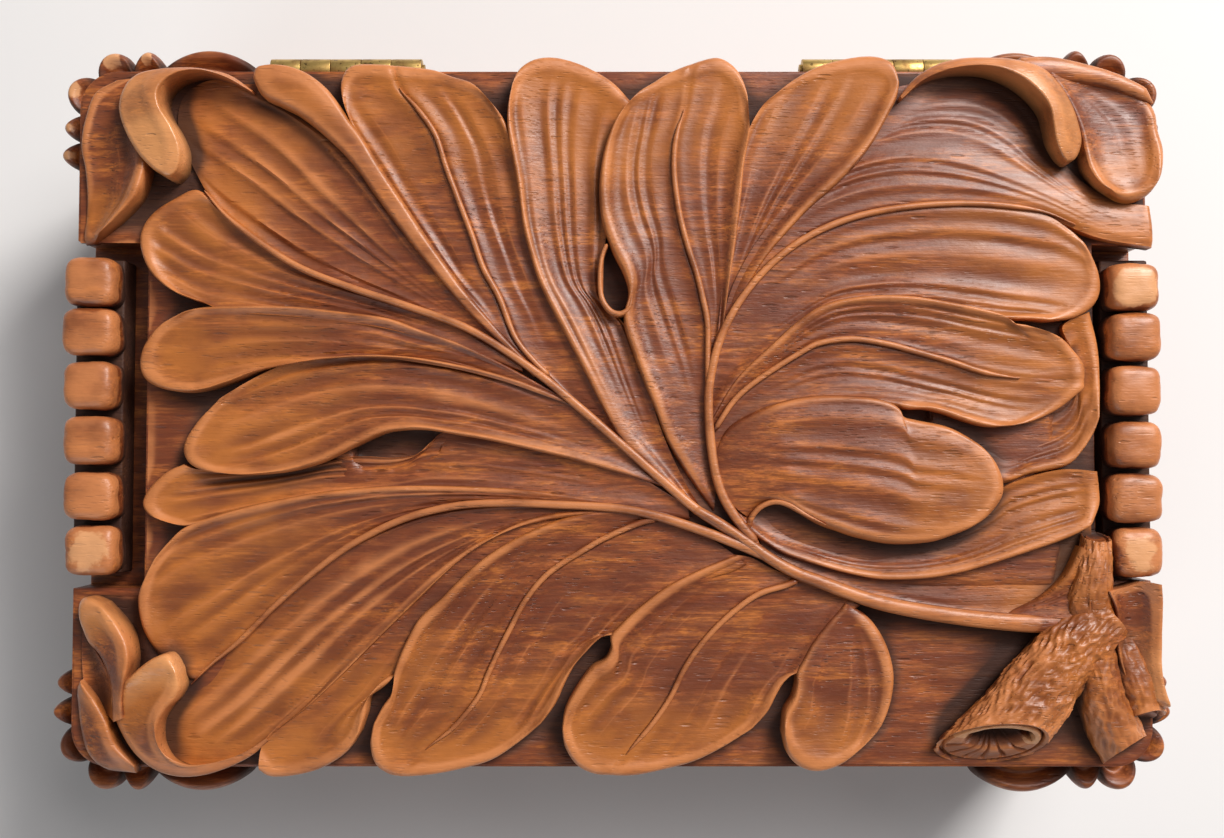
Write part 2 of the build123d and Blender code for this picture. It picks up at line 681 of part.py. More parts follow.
veins = [
    (3.0, [(-9.7, 6.0), (-15.3, 12.3), (-20.3, 23.2), (-24.2, 33.8), (-28.0, 44.5), (-33.6, 51.8)]),
    (3.9, [(15.2, 2.4), (15.1, 14.3), (12.0, 26.7), (10.0, 38.8), (10.8, 46.7), (12.4, 53.9)]),
    (3.7, [(17.0, -2.0), (23.3, 5.8), (32.9, 11.5), (43.4, 11.2), (58.2, 6.8), (73.5, 5.2)]),
    (3.4, [(7.5, -16.3), (-3.9, -20.8), (-13.4, -28.8), (-19.3, -40.4), (-24.8, -48.8), (-31.4, -54.5)]),
    (3.6, [(29.4, -25.8), (22.5, -28.3), (13.7, -36.2), (9.0, -44.1), (2.8, -52.2)]),
]
for vein_height, line in veins:
    lid = lid + cord(line, vein_half_breadth, vein_height)

# Carved lid, turned tips: leaf tips that curl over at three of the corners
turned_tips = [
    # back left: the outer tip, and the flap turned over it
    (3.6, [
        (-70.8, 53.4), (-79.2, 53.1), (-83.4, 49.1), (-84.8, 42.7), (-84.0, 35.6), (-84.6, 27.9),
        (-80.9, 28.7), (-75.0, 34.3), (-73.4, 40.7), (-74.7, 48.3),
    ]),
    (6.2, [
        (-57.0, 52.5), (-64.5, 54.7), (-73.2, 54.1), (-76.7, 51.5), (-76.8, 47.5), (-73.7, 41.3),
        (-70.7, 38.6), (-68.0, 39.5), (-68.0, 42.7), (-70.3, 47.7), (-69.7, 51.8), (-64.0, 53.6),
    ]),
    # back right: the crescent flap, and the round tip beside it
    (6.2, [
        (45.5, 50.2), (50.9, 55.2), (59.5, 56.3), (67.8, 54.7), (72.5, 49.1), (74.2, 43.2),
        (72.4, 39.7), (70.4, 40.8), (68.8, 45.6), (65.4, 51.2), (59.9, 54.1), (52.5, 53.8),
    ]),
    (3.3, [
        (68.8, 53.8), (71.3, 55.0), (81.0, 53.4), (85.4, 50.4), (86.4, 45.6), (86.6, 39.5),
        (84.5, 34.6), (80.2, 34.0), (76.8, 36.4), (74.0, 41.9), (72.5, 48.3),
    ]),
    # front left: two tips that meet in one thick roll, and the low lobe outside them
    (5.4, [
        (-77.7, -47.8), (-78.7, -41.0), (-82.1, -35.8), (-83.7, -30.8), (-82.5, -28.8), (-80.0, -29.5),
        (-75.7, -34.5), (-74.7, -37.9), (-75.6, -42.9),
    ]),
    (6.2, [
        (-77.5, -47.5), (-75.6, -42.3), (-72.7, -38.5), (-69.6, -37.2), (-67.8, -39.0), (-68.0, -42.1),
        (-69.5, -46.0), (-70.0, -50.6),
    ]),
    (5.2, [
        (-53.5, -50.9), (-60.2, -55.2), (-67.9, -55.7), (-73.9, -53.4), (-77.5, -47.5), (-73.5, -46.8),
        (-69.9, -48.3), (-69.4, -52.2), (-65.6, -54.8), (-59.4, -53.5),
    ]),
    (2.4, [
        (-74.6, -55.5), (-79.6, -55.2), (-82.1, -52.9), (-83.5, -44.4), (-83.6, -35.1), (-81.4, -35.9),
        (-78.5, -42.9), (-77.2, -50.6),
    ]),
]
for tip_height, outline in turned_tips:
    lid = lid + raised(outline, tip_height)

# Carved lid, branch: a short branch, sawn off at a slant, with a hollow end
branch_ends = on_lid([(77.5, -30.8), (54.1, -57.2)])
branch_root = Vector(*branch_ends[0], lid_board_top + branch_root_rise)
branch_end = Vector(*branch_ends[1], lid_board_top + branch_end_rise)
branch_line = branch_end - branch_root
branch_plane = Plane(origin=branch_root, x_dir=branch_line.cross(Vector(0, 0, 1)), z_dir=branch_line)
branch_length = branch_line.length
branch_room_top = lid_board_top + branch_clear_height
branch_room = rounded_plate(
    box_length, box_width, lid_board_top - branch_let_in, branch_room_top, lid_corner_radius
)
sawn_place = Vector(*on_lid([(59.6, -50.9)])[0], lid_board_top + sawn_end_height)
sawn_plane = Plane(origin=sawn_place, z_dir=sawn_end_facing)
hollow_floor = Plane(origin=sawn_place - sawn_plane.z_dir * branch_hollow_depth, z_dir=sawn_end_facing)


def branch_form(share):
    """The branch as a tapering oval rod, or one inside it at a share of its radii."""
    root_oval = Ellipse(share * branch_root_radii[0], share * branch_root_radii[1])
    end_oval = Ellipse(share * branch_end_radii[0], share * branch_end_radii[1])
    return loft([branch_plane * root_oval, branch_plane.offset(branch_length) * end_oval])


branch = split(branch_form(1.0), bisect_by=sawn_plane, keep=Keep.BOTTOM)
hollow = split(branch_form(branch_hollow_share), bisect_by=hollow_floor, keep=Keep.TOP)
lid = lid + ((branch & branch_room) - hollow)

# Carved lid, shoots: the upper shoot and two stubs that stand out from the branch, and the
# dished web of bark between them. Each has the height of its line above the board, its radius
# at the foot and at the tip, and the line.
shoots = [
    (2.4, 4.8, 2.6, [(75.6, -31.7), (76.1, -18.3)]),
    (1.0, 3.6, 4.0, [(77.1, -33.0), (79.5, -52.5)]),
    (0.6, 2.6, 2.9, [(81.4, -36.7), (84.1, -47.2)]),
]
for shoot_rise, foot_radius, tip_radius, line in shoots:
    foot, tip = on_lid(line)
    shoot_foot = Vector(*foot, lid_board_top + shoot_rise)
    shoot_line = Vector(*tip, lid_board_top + shoot_rise) - shoot_foot
    shoot = Plane(origin=shoot_foot, z_dir=shoot_line) * (
        Location((0, 0, shoot_line.length / 2)) * Cone(foot_radius, tip_radius, shoot_line.length)
    )
    lid = lid + (shoot & branch_room)
web = [
    (66.8, -30.8), (73.2, -22.7), (78.1, -27.4), (85.0, -26.1), (85.1, -44.4), (80.7, -44.4),
    (76.1, -35.1),
]
lid = lid + raised(web, web_height)

# Carved lid, notches: one round each bead rail, through the board and its carving
for edge_x, end_x, front_gap, back_gap in (
    (
        -rail_inner_x + left_notch_gap,
        -half_length - notch_cut_overrun,
        left_notch_front_gap,
        left_notch_back_gap,
    ),
    (
        rail_inner_x - right_notch_gap,
        half_length + notch_cut_overrun,
        right_notch_front_gap,
        right_notch_back_gap,
    ),
):
    lid = lid - slab(
        min(edge_x, end_x),
        max(edge_x, end_x),
        -rail_half_length - front_gap,
        rail_half_length + back_gap,
        rim_height,
        branch_room_top,
    )
save(lid, "carved_lid")
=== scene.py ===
import math

import bmesh
import bpy
import numpy as np
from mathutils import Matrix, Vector, noise


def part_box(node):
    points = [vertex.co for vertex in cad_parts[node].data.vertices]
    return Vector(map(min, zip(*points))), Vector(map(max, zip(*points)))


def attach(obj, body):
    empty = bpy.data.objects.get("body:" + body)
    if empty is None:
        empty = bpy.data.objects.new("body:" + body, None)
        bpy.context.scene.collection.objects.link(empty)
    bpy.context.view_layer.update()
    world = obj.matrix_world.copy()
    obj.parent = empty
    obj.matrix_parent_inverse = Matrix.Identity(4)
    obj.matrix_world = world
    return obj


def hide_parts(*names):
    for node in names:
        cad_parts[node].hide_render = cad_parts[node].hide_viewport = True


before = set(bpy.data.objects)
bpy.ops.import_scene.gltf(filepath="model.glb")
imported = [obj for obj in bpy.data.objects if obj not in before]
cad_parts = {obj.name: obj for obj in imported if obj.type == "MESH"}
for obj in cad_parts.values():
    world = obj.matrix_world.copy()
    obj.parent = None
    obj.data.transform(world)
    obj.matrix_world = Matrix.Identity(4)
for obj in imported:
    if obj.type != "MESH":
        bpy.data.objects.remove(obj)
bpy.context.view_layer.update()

MM = 0.001


# Body boards: the bottom, the four walls of the box, sawn and planed walnut, glued and waxed.
# The walls stand under the rim of the lid; their edges are broken with a plane. All walnut on
# the box is one timber with its grain along X, so one finish serves every walnut piece.


def new_group(name):
    """An empty shader node group that puts out a colour, a roughness, a coat and a height."""
    tree = bpy.data.node_groups.new(name, "ShaderNodeTree")
    tree.interface.new_socket("Color", in_out="OUTPUT", socket_type="NodeSocketColor")
    for output in ("Roughness", "Coat", "Height"):
        tree.interface.new_socket(output, in_out="OUTPUT", socket_type="NodeSocketFloat")
    return tree


class Graph:
    """Short names for making and linking shader nodes."""

    def __init__(self, tree):
        self.tree = tree

    def node(self, kind, **settings):
        made = self.tree.nodes.new("ShaderNode" + kind)
        for key, value in settings.items():
            setattr(made, key, value)
        return made

    def link(self, output, socket):
        self.tree.links.new(output, socket)

    def feed(self, socket, value):
        """Gives a socket a number or a colour, or links an output to it."""
        if isinstance(value, (float, int)):
            socket.default_value = value
        elif isinstance(value, tuple):
            socket.default_value = (*value, 1.0)
        else:
            self.link(value, socket)

    def stretched(self, scale, location=(0.0, 0.0, 0.0)):
        """Object coordinates, scaled per axis."""
        mapping = self.node("Mapping")
        mapping.inputs["Scale"].default_value = scale
        mapping.inputs["Location"].default_value = location
        self.link(self.node("TexCoord").outputs["Object"], mapping.inputs["Vector"])
        return mapping.outputs["Vector"]

    def noise(self, vector, detail=3.0, roughness=0.5, distortion=0.0):
        made = self.node("TexNoise")
        self.link(vector, made.inputs["Vector"])
        made.inputs["Scale"].default_value = 1.0
        made.inputs["Detail"].default_value = detail
        made.inputs["Roughness"].default_value = roughness
        made.inputs["Distortion"].default_value = distortion
        return made.outputs["Fac"]

    def dashes(self, scale, location, low, high):
        """Short dashes: 1 in the middle of each cell of a stretched space, 0 round it."""
        cells = self.node("TexVoronoi", feature="F1", distance="EUCLIDEAN")
        self.link(self.stretched(scale, location), cells.inputs["Vector"])
        cells.inputs["Scale"].default_value = 1.0
        return self.ramp(cells.outputs["Distance"], low, high, 1.0, 0.0)

    def ramp(self, value, low, high, low_out=0.0, high_out=1.0):
        made = self.node("MapRange", interpolation_type="SMOOTHSTEP")
        self.link(value, made.inputs["Value"])
        made.inputs["From Min"].default_value = low
        made.inputs["From Max"].default_value = high
        made.inputs["To Min"].default_value = low_out
        made.inputs["To Max"].default_value = high_out
        return made.outputs["Result"]

    def mix(self, factor, first, second):
        """Colour mix; first and second are colours or outputs."""
        made = self.node("Mix", data_type="RGBA")
        for index, value in ((0, factor), (6, first), (7, second)):
            self.feed(made.inputs[index], value)
        return made.outputs[2]

    def tint(self, base, mask, low, high, strength, colour):
        """Mixes a colour into base where mask rises from low to high."""
        return self.mix(self.ramp(mask, low, high, 0.0, strength), base, colour)

    def math(self, operation, first, second):
        made = self.node("Math", operation=operation)
        self.feed(made.inputs[0], first)
        self.feed(made.inputs[1], second)
        return made.outputs[0]

    def attribute(self, name):
        return self.node("Attribute", attribute_name=name).outputs["Fac"]

    def put_out(self, **values):
        """Links values to the group's outputs of the same names."""
        output = self.tree.nodes.new("NodeGroupOutput")
        for name, value in values.items():
            self.link(value, output.inputs[name])


def walnut_group():
    """Waxed walnut: grain and pores along X, dirt and painted shade in the hollows, paler on the crests
    where rubbed and where a highlight is painted.
    """
    tree = new_group("walnut_wood")
    g = Graph(tree)
    marks = ("hollow", "crest", "bed", "ridge", "tip", "worn", "polish_and_highlight")
    hollow, crest, bed, ridge, tip, worn, polish_and_highlight = [g.attribute(mark) for mark in marks]
    # Growth figure: long soft streaks along the grain
    broad = g.noise(g.stretched((22.0, 150.0, 150.0)), 3.0, 0.55, 0.6)
    streak = g.noise(g.stretched((45.0, 900.0, 900.0)), 2.0, 0.6)
    cloud = g.noise(g.stretched((60.0, 75.0, 75.0)), 4.0, 0.6)
    base = g.mix(g.ramp(broad, 0.3, 0.72), (0.21, 0.048, 0.014), (0.41, 0.115, 0.032))
    base = g.tint(base, streak, 0.38, 0.7, 0.4, (0.52, 0.172, 0.04))
    base = g.tint(base, cloud, 0.45, 0.72, 0.6, (0.2, 0.048, 0.013))
    stain = g.noise(g.stretched((75.0, 300.0, 300.0), (2.0, 6.0, 1.0)), 5.0, 0.65)
    base = g.tint(base, stain, 0.48, 0.58, 0.72, (0.14, 0.03, 0.011))
    base = g.tint(base, stain, 0.47, 0.37, 0.65, (0.58, 0.185, 0.036))
    # Bloomed, greyer wax left in the hollows that no hand reaches, in patches; it is also a painted greyish
    # sheen there
    bloom_and_sheen_patch = g.ramp(g.noise(g.stretched((90.0, 120.0, 120.0), (3.0, 1.0, 0.0)), 3.0), 0.4, 0.7)
    bloom_and_sheen = g.math("MULTIPLY", g.ramp(hollow, 0.25, 0.6), bloom_and_sheen_patch)
    base = g.mix(g.math("MULTIPLY", bloom_and_sheen, 0.5), base, (0.27, 0.15, 0.1))
    # Fine fibres, and a mottle left by the tools
    hair = g.noise(g.stretched((240.0, 3400.0, 3400.0)), 3.0, 0.7)
    base = g.tint(base, hair, 0.42, 0.6, 0.52, (0.12, 0.03, 0.009))
    lines = g.noise(g.stretched((95.0, 1300.0, 1300.0), (4.0, 4.0, 7.0)), 3.0, 0.65)
    base = g.tint(base, lines, 0.49, 0.58, 0.6, (0.12, 0.026, 0.009))
    mottle = g.noise(g.stretched((420.0, 700.0, 700.0), (1.0, 9.0, 4.0)), 4.0, 0.6)
    base = g.tint(base, mottle, 0.5, 0.66, 0.42, (0.17, 0.05, 0.018))
    # Pores: short dark dashes along the grain
    pore_region = g.ramp(g.noise(g.stretched((30.0, 60.0, 60.0), (7.0, 2.0, 1.0)), 2.0), 0.35, 0.65)
    pore_cells = g.dashes((330.0, 2600.0, 2600.0), (0.0, 0.0, 0.0), 0.1, 0.3)
    pores = g.math("MULTIPLY", pore_cells, pore_region)
    base = g.mix(g.math("MULTIPLY", pores, 0.6), base, (0.035, 0.012, 0.006))
    # Torn fibres: short nicks across the flutes
    tear_region = g.ramp(g.noise(g.stretched((70.0, 90.0, 90.0), (1.0, 8.0, 3.0)), 3.0), 0.48, 0.6)
    tear_cells = g.dashes((170.0, 950.0, 950.0), (3.0, 5.0, 2.0), 0.1, 0.26)
    tears = g.math("MULTIPLY", tear_cells, tear_region)
    base = g.mix(g.math("MULTIPLY", tears, 0.4), base, (0.06, 0.018, 0.008))
    # Rubbed crests are paler and more orange, in patches, which is also a painted highlight on what stands
    # highest
    rub_and_highlight_patch = g.ramp(g.noise(g.stretched((120.0, 160.0, 160.0), (5.0, 5.0, 2.0)), 4.0), 0.25, 0.65)
    tone = g.math("ADD", 0.15, g.math("MULTIPLY", rub_and_highlight_patch, 0.6))
    toned = g.math("MULTIPLY", g.ramp(tip, 0.1, 1.0), tone)
    base = g.mix(toned, base, (0.5, 0.165, 0.03))
    rub_and_highlight = g.math("MULTIPLY", g.ramp(crest, 0.1, 0.95), g.math("ADD", 0.3, rub_and_highlight_patch))
    base = g.mix(g.math("MULTIPLY", rub_and_highlight, 0.6), base, (0.64, 0.24, 0.085))
    # Gouge cuts: painted shade in the bed, and a paler line along the crest between two cuts, partly
    # rubbing and partly a painted highlight
    base = g.tint(base, bed, 0.15, 1.0, 0.62, (0.14, 0.034, 0.011))
    base = g.tint(base, ridge, 0.15, 1.0, 0.5, (0.6, 0.205, 0.065))
    # Polished places are paler and pinker: a painted highlight, beside their lower roughness and thicker
    # coat
    polish_highlight = g.math("MULTIPLY", polish_and_highlight, g.math("ADD", 0.3, g.math("MULTIPLY", rub_and_highlight_patch, 0.5)))
    base = g.mix(polish_highlight, base, (0.8, 0.37, 0.14))
    # Raw, dry wood where the wax is gone, in ragged spots
    raw_edge = g.noise(g.stretched((320.0, 320.0, 320.0), (8.0, 3.0, 6.0)), 4.0, 0.6)
    raw = g.ramp(g.math("ADD", worn, g.math("MULTIPLY", raw_edge, 0.9)), 0.95, 1.1)
    base = g.mix(g.math("MULTIPLY", raw, 0.85), base, (0.72, 0.36, 0.165))
    # Old wax and dirt in the grooves, and painted shade there: near black on whatever lies lower than the
    # carving round it
    base = g.tint(base, hollow, 0.2, 1.0, 0.88, (0.022, 0.0075, 0.004))
    grain_rough = g.ramp(streak, 0.3, 0.75, 0.0, 0.12)
    rough = g.math("ADD", g.ramp(hollow, 0.1, 0.9, 0.38, 0.62), grain_rough)
    rough = g.math("SUBTRACT", rough, g.math("MULTIPLY", polish_and_highlight, 0.2))
    coat = g.math("ADD", g.ramp(hollow, 0.1, 0.7, 0.2, 0.03), g.math("MULTIPLY", polish_and_highlight, 0.25))
    tool = g.noise(g.stretched((260.0, 420.0, 420.0)), 3.0, 0.55)
    fibre = g.noise(g.stretched((180.0, 2600.0, 2600.0)), 2.0, 0.6)
    height = g.math("ADD", g.math("MULTIPLY", tool, 0.6), g.math("MULTIPLY", fibre, 0.38))
    height = g.math("ADD", height, g.math("MULTIPLY", mottle, 0.5))
    height = g.math("SUBTRACT", height, g.math("MULTIPLY", pores, 0.6))
    height = g.math("SUBTRACT", height, g.math("MULTIPLY", tears, 0.9))
    g.put_out(Color=base, Roughness=rough, Coat=coat, Height=height)
    return tree


COAT_ROUGHNESS = 0.32
SHEEN = 0.36


def material_from_group(name, tree, bump_distance, bump_strength=0.6, metallic=0.0):
    """A Principled material fed by a group's colour, roughness, coat and height."""
    made = bpy.data.materials.new(name)
    made.use_nodes = True
    g = Graph(made.node_tree)
    shader = made.node_tree.nodes["Principled BSDF"]
    group = g.node("Group")
    group.node_tree = tree
    bump = g.node("Bump")
    bump.inputs["Strength"].default_value = bump_strength
    bump.inputs["Distance"].default_value = bump_distance
    g.link(group.outputs["Height"], bump.inputs["Height"])
    for output, socket in (("Color", "Base Color"), ("Roughness", "Roughness"), ("Coat", "Coat Weight")):
        g.link(group.outputs[output], shader.inputs[socket])
    g.link(bump.outputs["Normal"], shader.inputs["Normal"])
    shader.inputs["Metallic"].default_value = metallic
    shader.inputs["Coat Roughness"].default_value = COAT_ROUGHNESS
    shader.inputs["Specular IOR Level"].default_value = SHEEN
    return made


walnut = material_from_group("walnut", walnut_group(), 0.25 * MM)

# Angles in degrees: edges that bend less are shaded smooth
SMOOTH = 40.0
SMOOTHER = 50.0


def finish_piece(bm, name, body, material, smooth_angle=SMOOTH):
    """Turns a bmesh into a shown piece that rides on a CAD body."""
    bmesh.ops.recalc_face_normals(bm, faces=bm.faces)
    mesh = bpy.data.meshes.new(name)
    bm.to_mesh(mesh)
    bm.free()
    piece = bpy.data.objects.new(name, mesh)
    bpy.context.scene.collection.objects.link(piece)
    mesh.shade_smooth()
    mesh.set_sharp_from_angle(angle=math.radians(smooth_angle))
    mesh.materials.append(material)
    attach(piece, body)
    return piece


def broken_edges(node, body, material, width, cut_at=None, top=None):
    """A board copied from its CAD solid with its edges broken."""
    bm = bmesh.new()
    bm.from_mesh(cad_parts[node].data)
    bmesh.ops.remove_doubles(bm, verts=bm.verts, dist=0.001 * MM)
    if cut_at is not None:
        cut = bmesh.ops.bisect_plane(
            bm,
            geom=bm.verts[:] + bm.edges[:] + bm.faces[:],
            plane_co=(0.0, 0.0, cut_at),
            plane_no=(0.0, 0.0, 1.0),
            clear_outer=True,
        )
        rim = [e for e in cut["geom_cut"] if isinstance(e, bmesh.types.BMEdge)]
        bmesh.ops.contextual_create(bm, geom=rim)
        for vert in {v for e in rim for v in e.verts}:
            vert.co.z = top
    bmesh.ops.dissolve_limit(bm, angle_limit=math.radians(1.0), verts=bm.verts, edges=bm.edges)
    sharp = [e for e in bm.edges if len(e.link_faces) == 2 and e.calc_face_angle() > math.radians(60)]
    bmesh.ops.bevel(
        bm, geom=sharp, affect="EDGES", offset=width, segments=2, profile=0.5, material=-1,
        clamp_overlap=True,
    )
    piece = finish_piece(bm, node + "_board", body, material)
    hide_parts(node)
    return piece


for node in ("bottom_board", "front_wall", "back_wall", "left_end_wall", "right_end_wall"):
    broken_edges(node, "box", walnut, 0.25 * MM)


# Carved lid, ground: one thick walnut board, notched at each end round the bead rails, with
# its ground cut back so that the leaf stands proud. Hinge mortises and the lining's recess
# are let into its underside.

GROUND = 46.7
CLEAR_CUT = 44.5
LID_HALF = (85.2, 55.1)
LID_CORNER = 5.6
NOTCH_MIDDLE = -0.6
NOTCH_HALF = 27.7
NOTCH_LEFT = -74.6
NOTCH_RIGHT = 77.2


def finish_carving(bm, name, smooth_angle=SMOOTH):
    """Turns a bmesh into one of the lid's carved pieces."""
    finish_piece(bm, name, "lid", walnut, smooth_angle)


lid_ground = broken_edges(
    "carved_lid", "lid", walnut, 0.35 * MM, cut_at=CLEAR_CUT * MM, top=GROUND * MM
)
lid_ground.name = "lid_ground"

# The ground's own surface, left slightly uneven by the gouge
ground_bed = bmesh.new()
GROUND_STEP = 0.7
columns, rows = [int(2 * half / GROUND_STEP) for half in LID_HALF]
bmesh.ops.create_grid(ground_bed, x_segments=columns, y_segments=rows, size=1.0)
for vert in ground_bed.verts:
    vert.co = (vert.co.x * LID_HALF[0] * MM, vert.co.y * LID_HALF[1] * MM, 0.0)


def in_a_notch(place):
    """Whether a place lies in one of the lid's notches for the bead rails."""
    x, y = place.x / MM, place.y / MM
    return abs(y - NOTCH_MIDDLE) < NOTCH_HALF and (x < NOTCH_LEFT or x > NOTCH_RIGHT)


in_notches = [v for v in ground_bed.verts if in_a_notch(v.co)]
bmesh.ops.delete(ground_bed, geom=in_notches, context="VERTS")
# Its corners are rounded like the lid's
straight = Vector([(half - LID_CORNER) * MM for half in LID_HALF])
for vert in ground_bed.verts:
    beyond = Vector((abs(vert.co.x), abs(vert.co.y))) - straight
    if beyond.x > 0 and beyond.y > 0 and beyond.length > LID_CORNER * MM:
        beyond = straight + beyond.normalized() * LID_CORNER * MM
        vert.co.x = math.copysign(beyond.x, vert.co.x)
        vert.co.y = math.copysign(beyond.y, vert.co.y)
bmesh.ops.remove_doubles(ground_bed, verts=ground_bed.verts, dist=0.1 * MM)
edge_of_bed = [e for e in ground_bed.edges if e.is_boundary]
skirted = bmesh.ops.extrude_edge_only(ground_bed, edges=edge_of_bed)
skirt_verts = [g for g in skirted["geom"] if isinstance(g, bmesh.types.BMVert)]

# Inside the leaf the ground was left higher, but for the deep eyes between some of its lobes
HEART = [
    (-63.0, 18.1), (-57.1, 24.1), (-44.5, 24.1), (-30.2, 18.1), (-22.3, 13.4), (-27.1, 24.1),
    (-17.6, 13.4), (-8.2, 5.5), (-8.2, 11.8), (-3.5, 10.2), (13.8, 13.4), (17.0, 13.4), (18.0, 18.1),
    (29.7, 30.0), (54.9, 32.1), (73.8, 27.6), (73.7, 18.1), (61.1, 13.4), (70.4, 2.4), (70.3, -7.1),
    (60.7, -16.5), (71.7, -19.6), (70.0, -27.4), (41.9, -27.7), (37.2, -27.4), (29.4, -28.9),
    (20.0, -27.4), (4.4, -31.7), (-8.1, -35.1), (-14.4, -28.9), (-30.0, -30.5), (-44.0, -35.1),
    (-58.0, -42.9), (-67.3, -44.7), (-73.2, -42.9), (-74.7, -36.7), (-74.4, -28.9), (-66.0, -22.7),
    (-58.3, -13.3), (-48.9, -11.8), (-42.6, -8.6), (-49.0, -3.9), (-49.0, 5.5), (-57.0, 11.8),
]
EYES = [
    ((0.6, 19.4), 3.2), ((0.9, 16.2), 1.4), ((-33.6, -4.6), 3.2), ((-37.8, -5.5), 2.6),
    ((-29.8, -4.1), 2.2), ((47.6, 0.6), 2.6),
]
HEART_RISE = 1.5
EYE_SLOPE = 0.8
GROUND_SHADE = 0.42
GROUND_LIFT = 0.12
GOUGE_MARKS = 0.1
BED_FOOT = 46.2


def rise_under_leaf(x, y):
    """How far the ground rises at these places under the leaf, in millimetres."""
    corners = np.array(HEART)
    nearest = np.full(x.shape, 1e9)
    inside = np.zeros(x.shape, bool)
    for a, b in zip(corners, np.roll(corners, -1, axis=0)):
        along = b - a
        t = np.clip(((x - a[0]) * along[0] + (y - a[1]) * along[1]) / (along @ along), 0, 1)
        nearest = np.minimum(nearest, np.hypot(x - a[0] - t * along[0], y - a[1] - t * along[1]))
        if a[1] != b[1]:
            crossed = (a[1] > y) != (b[1] > y)
            inside ^= crossed & (x < a[0] + (y - a[1]) * along[0] / along[1])
    depth_in = np.where(inside, nearest, -nearest)
    rise = HEART_RISE * np.clip((depth_in + 1.0) / 2.0, 0, 1)
    for (eye_x, eye_y), radius in EYES:
        rise = rise * np.clip((np.hypot(x - eye_x, y - eye_y) - radius) / EYE_SLOPE, 0, 1)
    return rise


ground_x = np.array([v.co.x for v in ground_bed.verts]) / MM
ground_y = np.array([v.co.y for v in ground_bed.verts]) / MM
for vert, rise in zip(ground_bed.verts, rise_under_leaf(ground_x, ground_y)):
    tool = noise.noise(Vector((vert.co.x / (6 * MM), vert.co.y / (4 * MM), 0.3)))
    vert.co.z = (GROUND + GROUND_LIFT + GOUGE_MARKS * tool + rise) * MM
for vert in skirt_verts:
    vert.co.z = BED_FOOT * MM
under = [g for g in skirted["geom"] if isinstance(g, bmesh.types.BMEdge) and g.is_boundary]
bmesh.ops.holes_fill(ground_bed, edges=under, sides=0)
# The whole ground is darkened evenly with the gouge beds' painted shade
ground_mark = ground_bed.verts.layers.float.new("bed")
for vert in ground_bed.verts:
    vert[ground_mark] = GROUND_SHADE
finish_carving(ground_bed, "lid_ground_surface")


# Carved lid, leaf: each lobe is a gouged, fluted bed between two edge lines, cut from the same
# board. Neighbouring lobes lap over each other, and their outer edges are rolled over and
# rubbed smooth.

SKIRT = 45.5


def smooth_line(points, shares):
    """Points along a smooth line through the given ones, at these shares of its length."""
    p = np.array(points, float)
    if len(p) == 2:
        return p[0] + (p[1] - p[0]) * shares[:, None]
    ends = np.vstack([2 * p[0] - p[1], p, 2 * p[-1] - p[-2]])
    dense = []
    for i in range(1, len(ends) - 2):
        a, b, c, d = ends[i - 1], ends[i], ends[i + 1], ends[i + 2]
        t = np.linspace(0, 1, 20, endpoint=False)[:, None]
        square = (2 * a - 5 * b + 4 * c - d) * t**2
        cube = (3 * b - a - 3 * c + d) * t**3
        dense.append(0.5 * (2 * b + (c - a) * t + square + cube))
    dense = np.vstack(dense + [p[-1:]])
    run = np.concatenate([[0], np.cumsum(np.linalg.norm(np.diff(dense, axis=0), axis=1))])
    at = shares * run[-1]
    return np.stack([np.interp(at, run, dense[:, k]) for k in range(dense.shape[1])], axis=1)


def length_of(line):
    """The length of a line given by its points."""
    return np.linalg.norm(np.diff(line, axis=0), axis=1).sum()


def bell(x):
    """A soft bump that is 1 where x is 0 and fades on both sides."""
    return np.exp(-(x**2))


def rounded_drop(distance, radius):
    """How far a rounded edge of this radius falls at a distance in from the edge."""
    inside = np.clip(1 - distance / np.maximum(radius, 1e-6), 0, 1)
    return radius * (1 - np.sqrt(np.clip(1 - inside**2, 0, 1)))


def smoothstep(x):
    """A soft step from 0 to 1 while x goes from 0 to 1."""
    x = np.clip(x, 0, 1)
    return x * x * (3 - 2 * x)


def place_grid(bm, x, y, z, marks=()):
    """Makes a closed piece from a grid surface: its top follows x, y, z and its skirt drops.
    marks are values from 0 to 1 for the wood: the bottoms of its gouge cuts, painted in shade, the crests
    between them, painted with a highlight and as rubbed, how far towards a tip a place lies, and where it
    is polished and painted with a highlight."""
    floats = bm.verts.layers.float
    layers = {name: floats.get(name) or floats.new(name) for name in ("bed", "ridge", "tip", "polish_and_highlight")}
    rows, columns = x.shape
    made = bmesh.ops.create_grid(bm, x_segments=rows - 1, y_segments=columns - 1, size=1.0)
    for vert in made["verts"]:
        i = round((vert.co.x + 1) / 2 * (rows - 1))
        j = round((vert.co.y + 1) / 2 * (columns - 1))
        vert.co = (x[i, j] * MM, y[i, j] * MM, z[i, j] * MM)
        for name, values in marks:
            vert[layers[name]] = values[i, j]
    edges = {e for v in made["verts"] for e in v.link_edges if e.is_boundary}
    skirted = bmesh.ops.extrude_edge_only(bm, edges=list(edges))
    low = [g for g in skirted["geom"] if isinstance(g, bmesh.types.BMVert)]
    for vert in low:
        vert.co.z = SKIRT * MM
    rim = [g for g in skirted["geom"] if isinstance(g, bmesh.types.BMEdge) and g.is_boundary]
    bmesh.ops.contextual_create(bm, geom=rim)


def heights_along(values, u):
    """Heights given at even steps, read off smoothly at the shares u."""
    keys = np.linspace(0, 1, len(values))
    return np.interp(u, keys, values)[:, None]


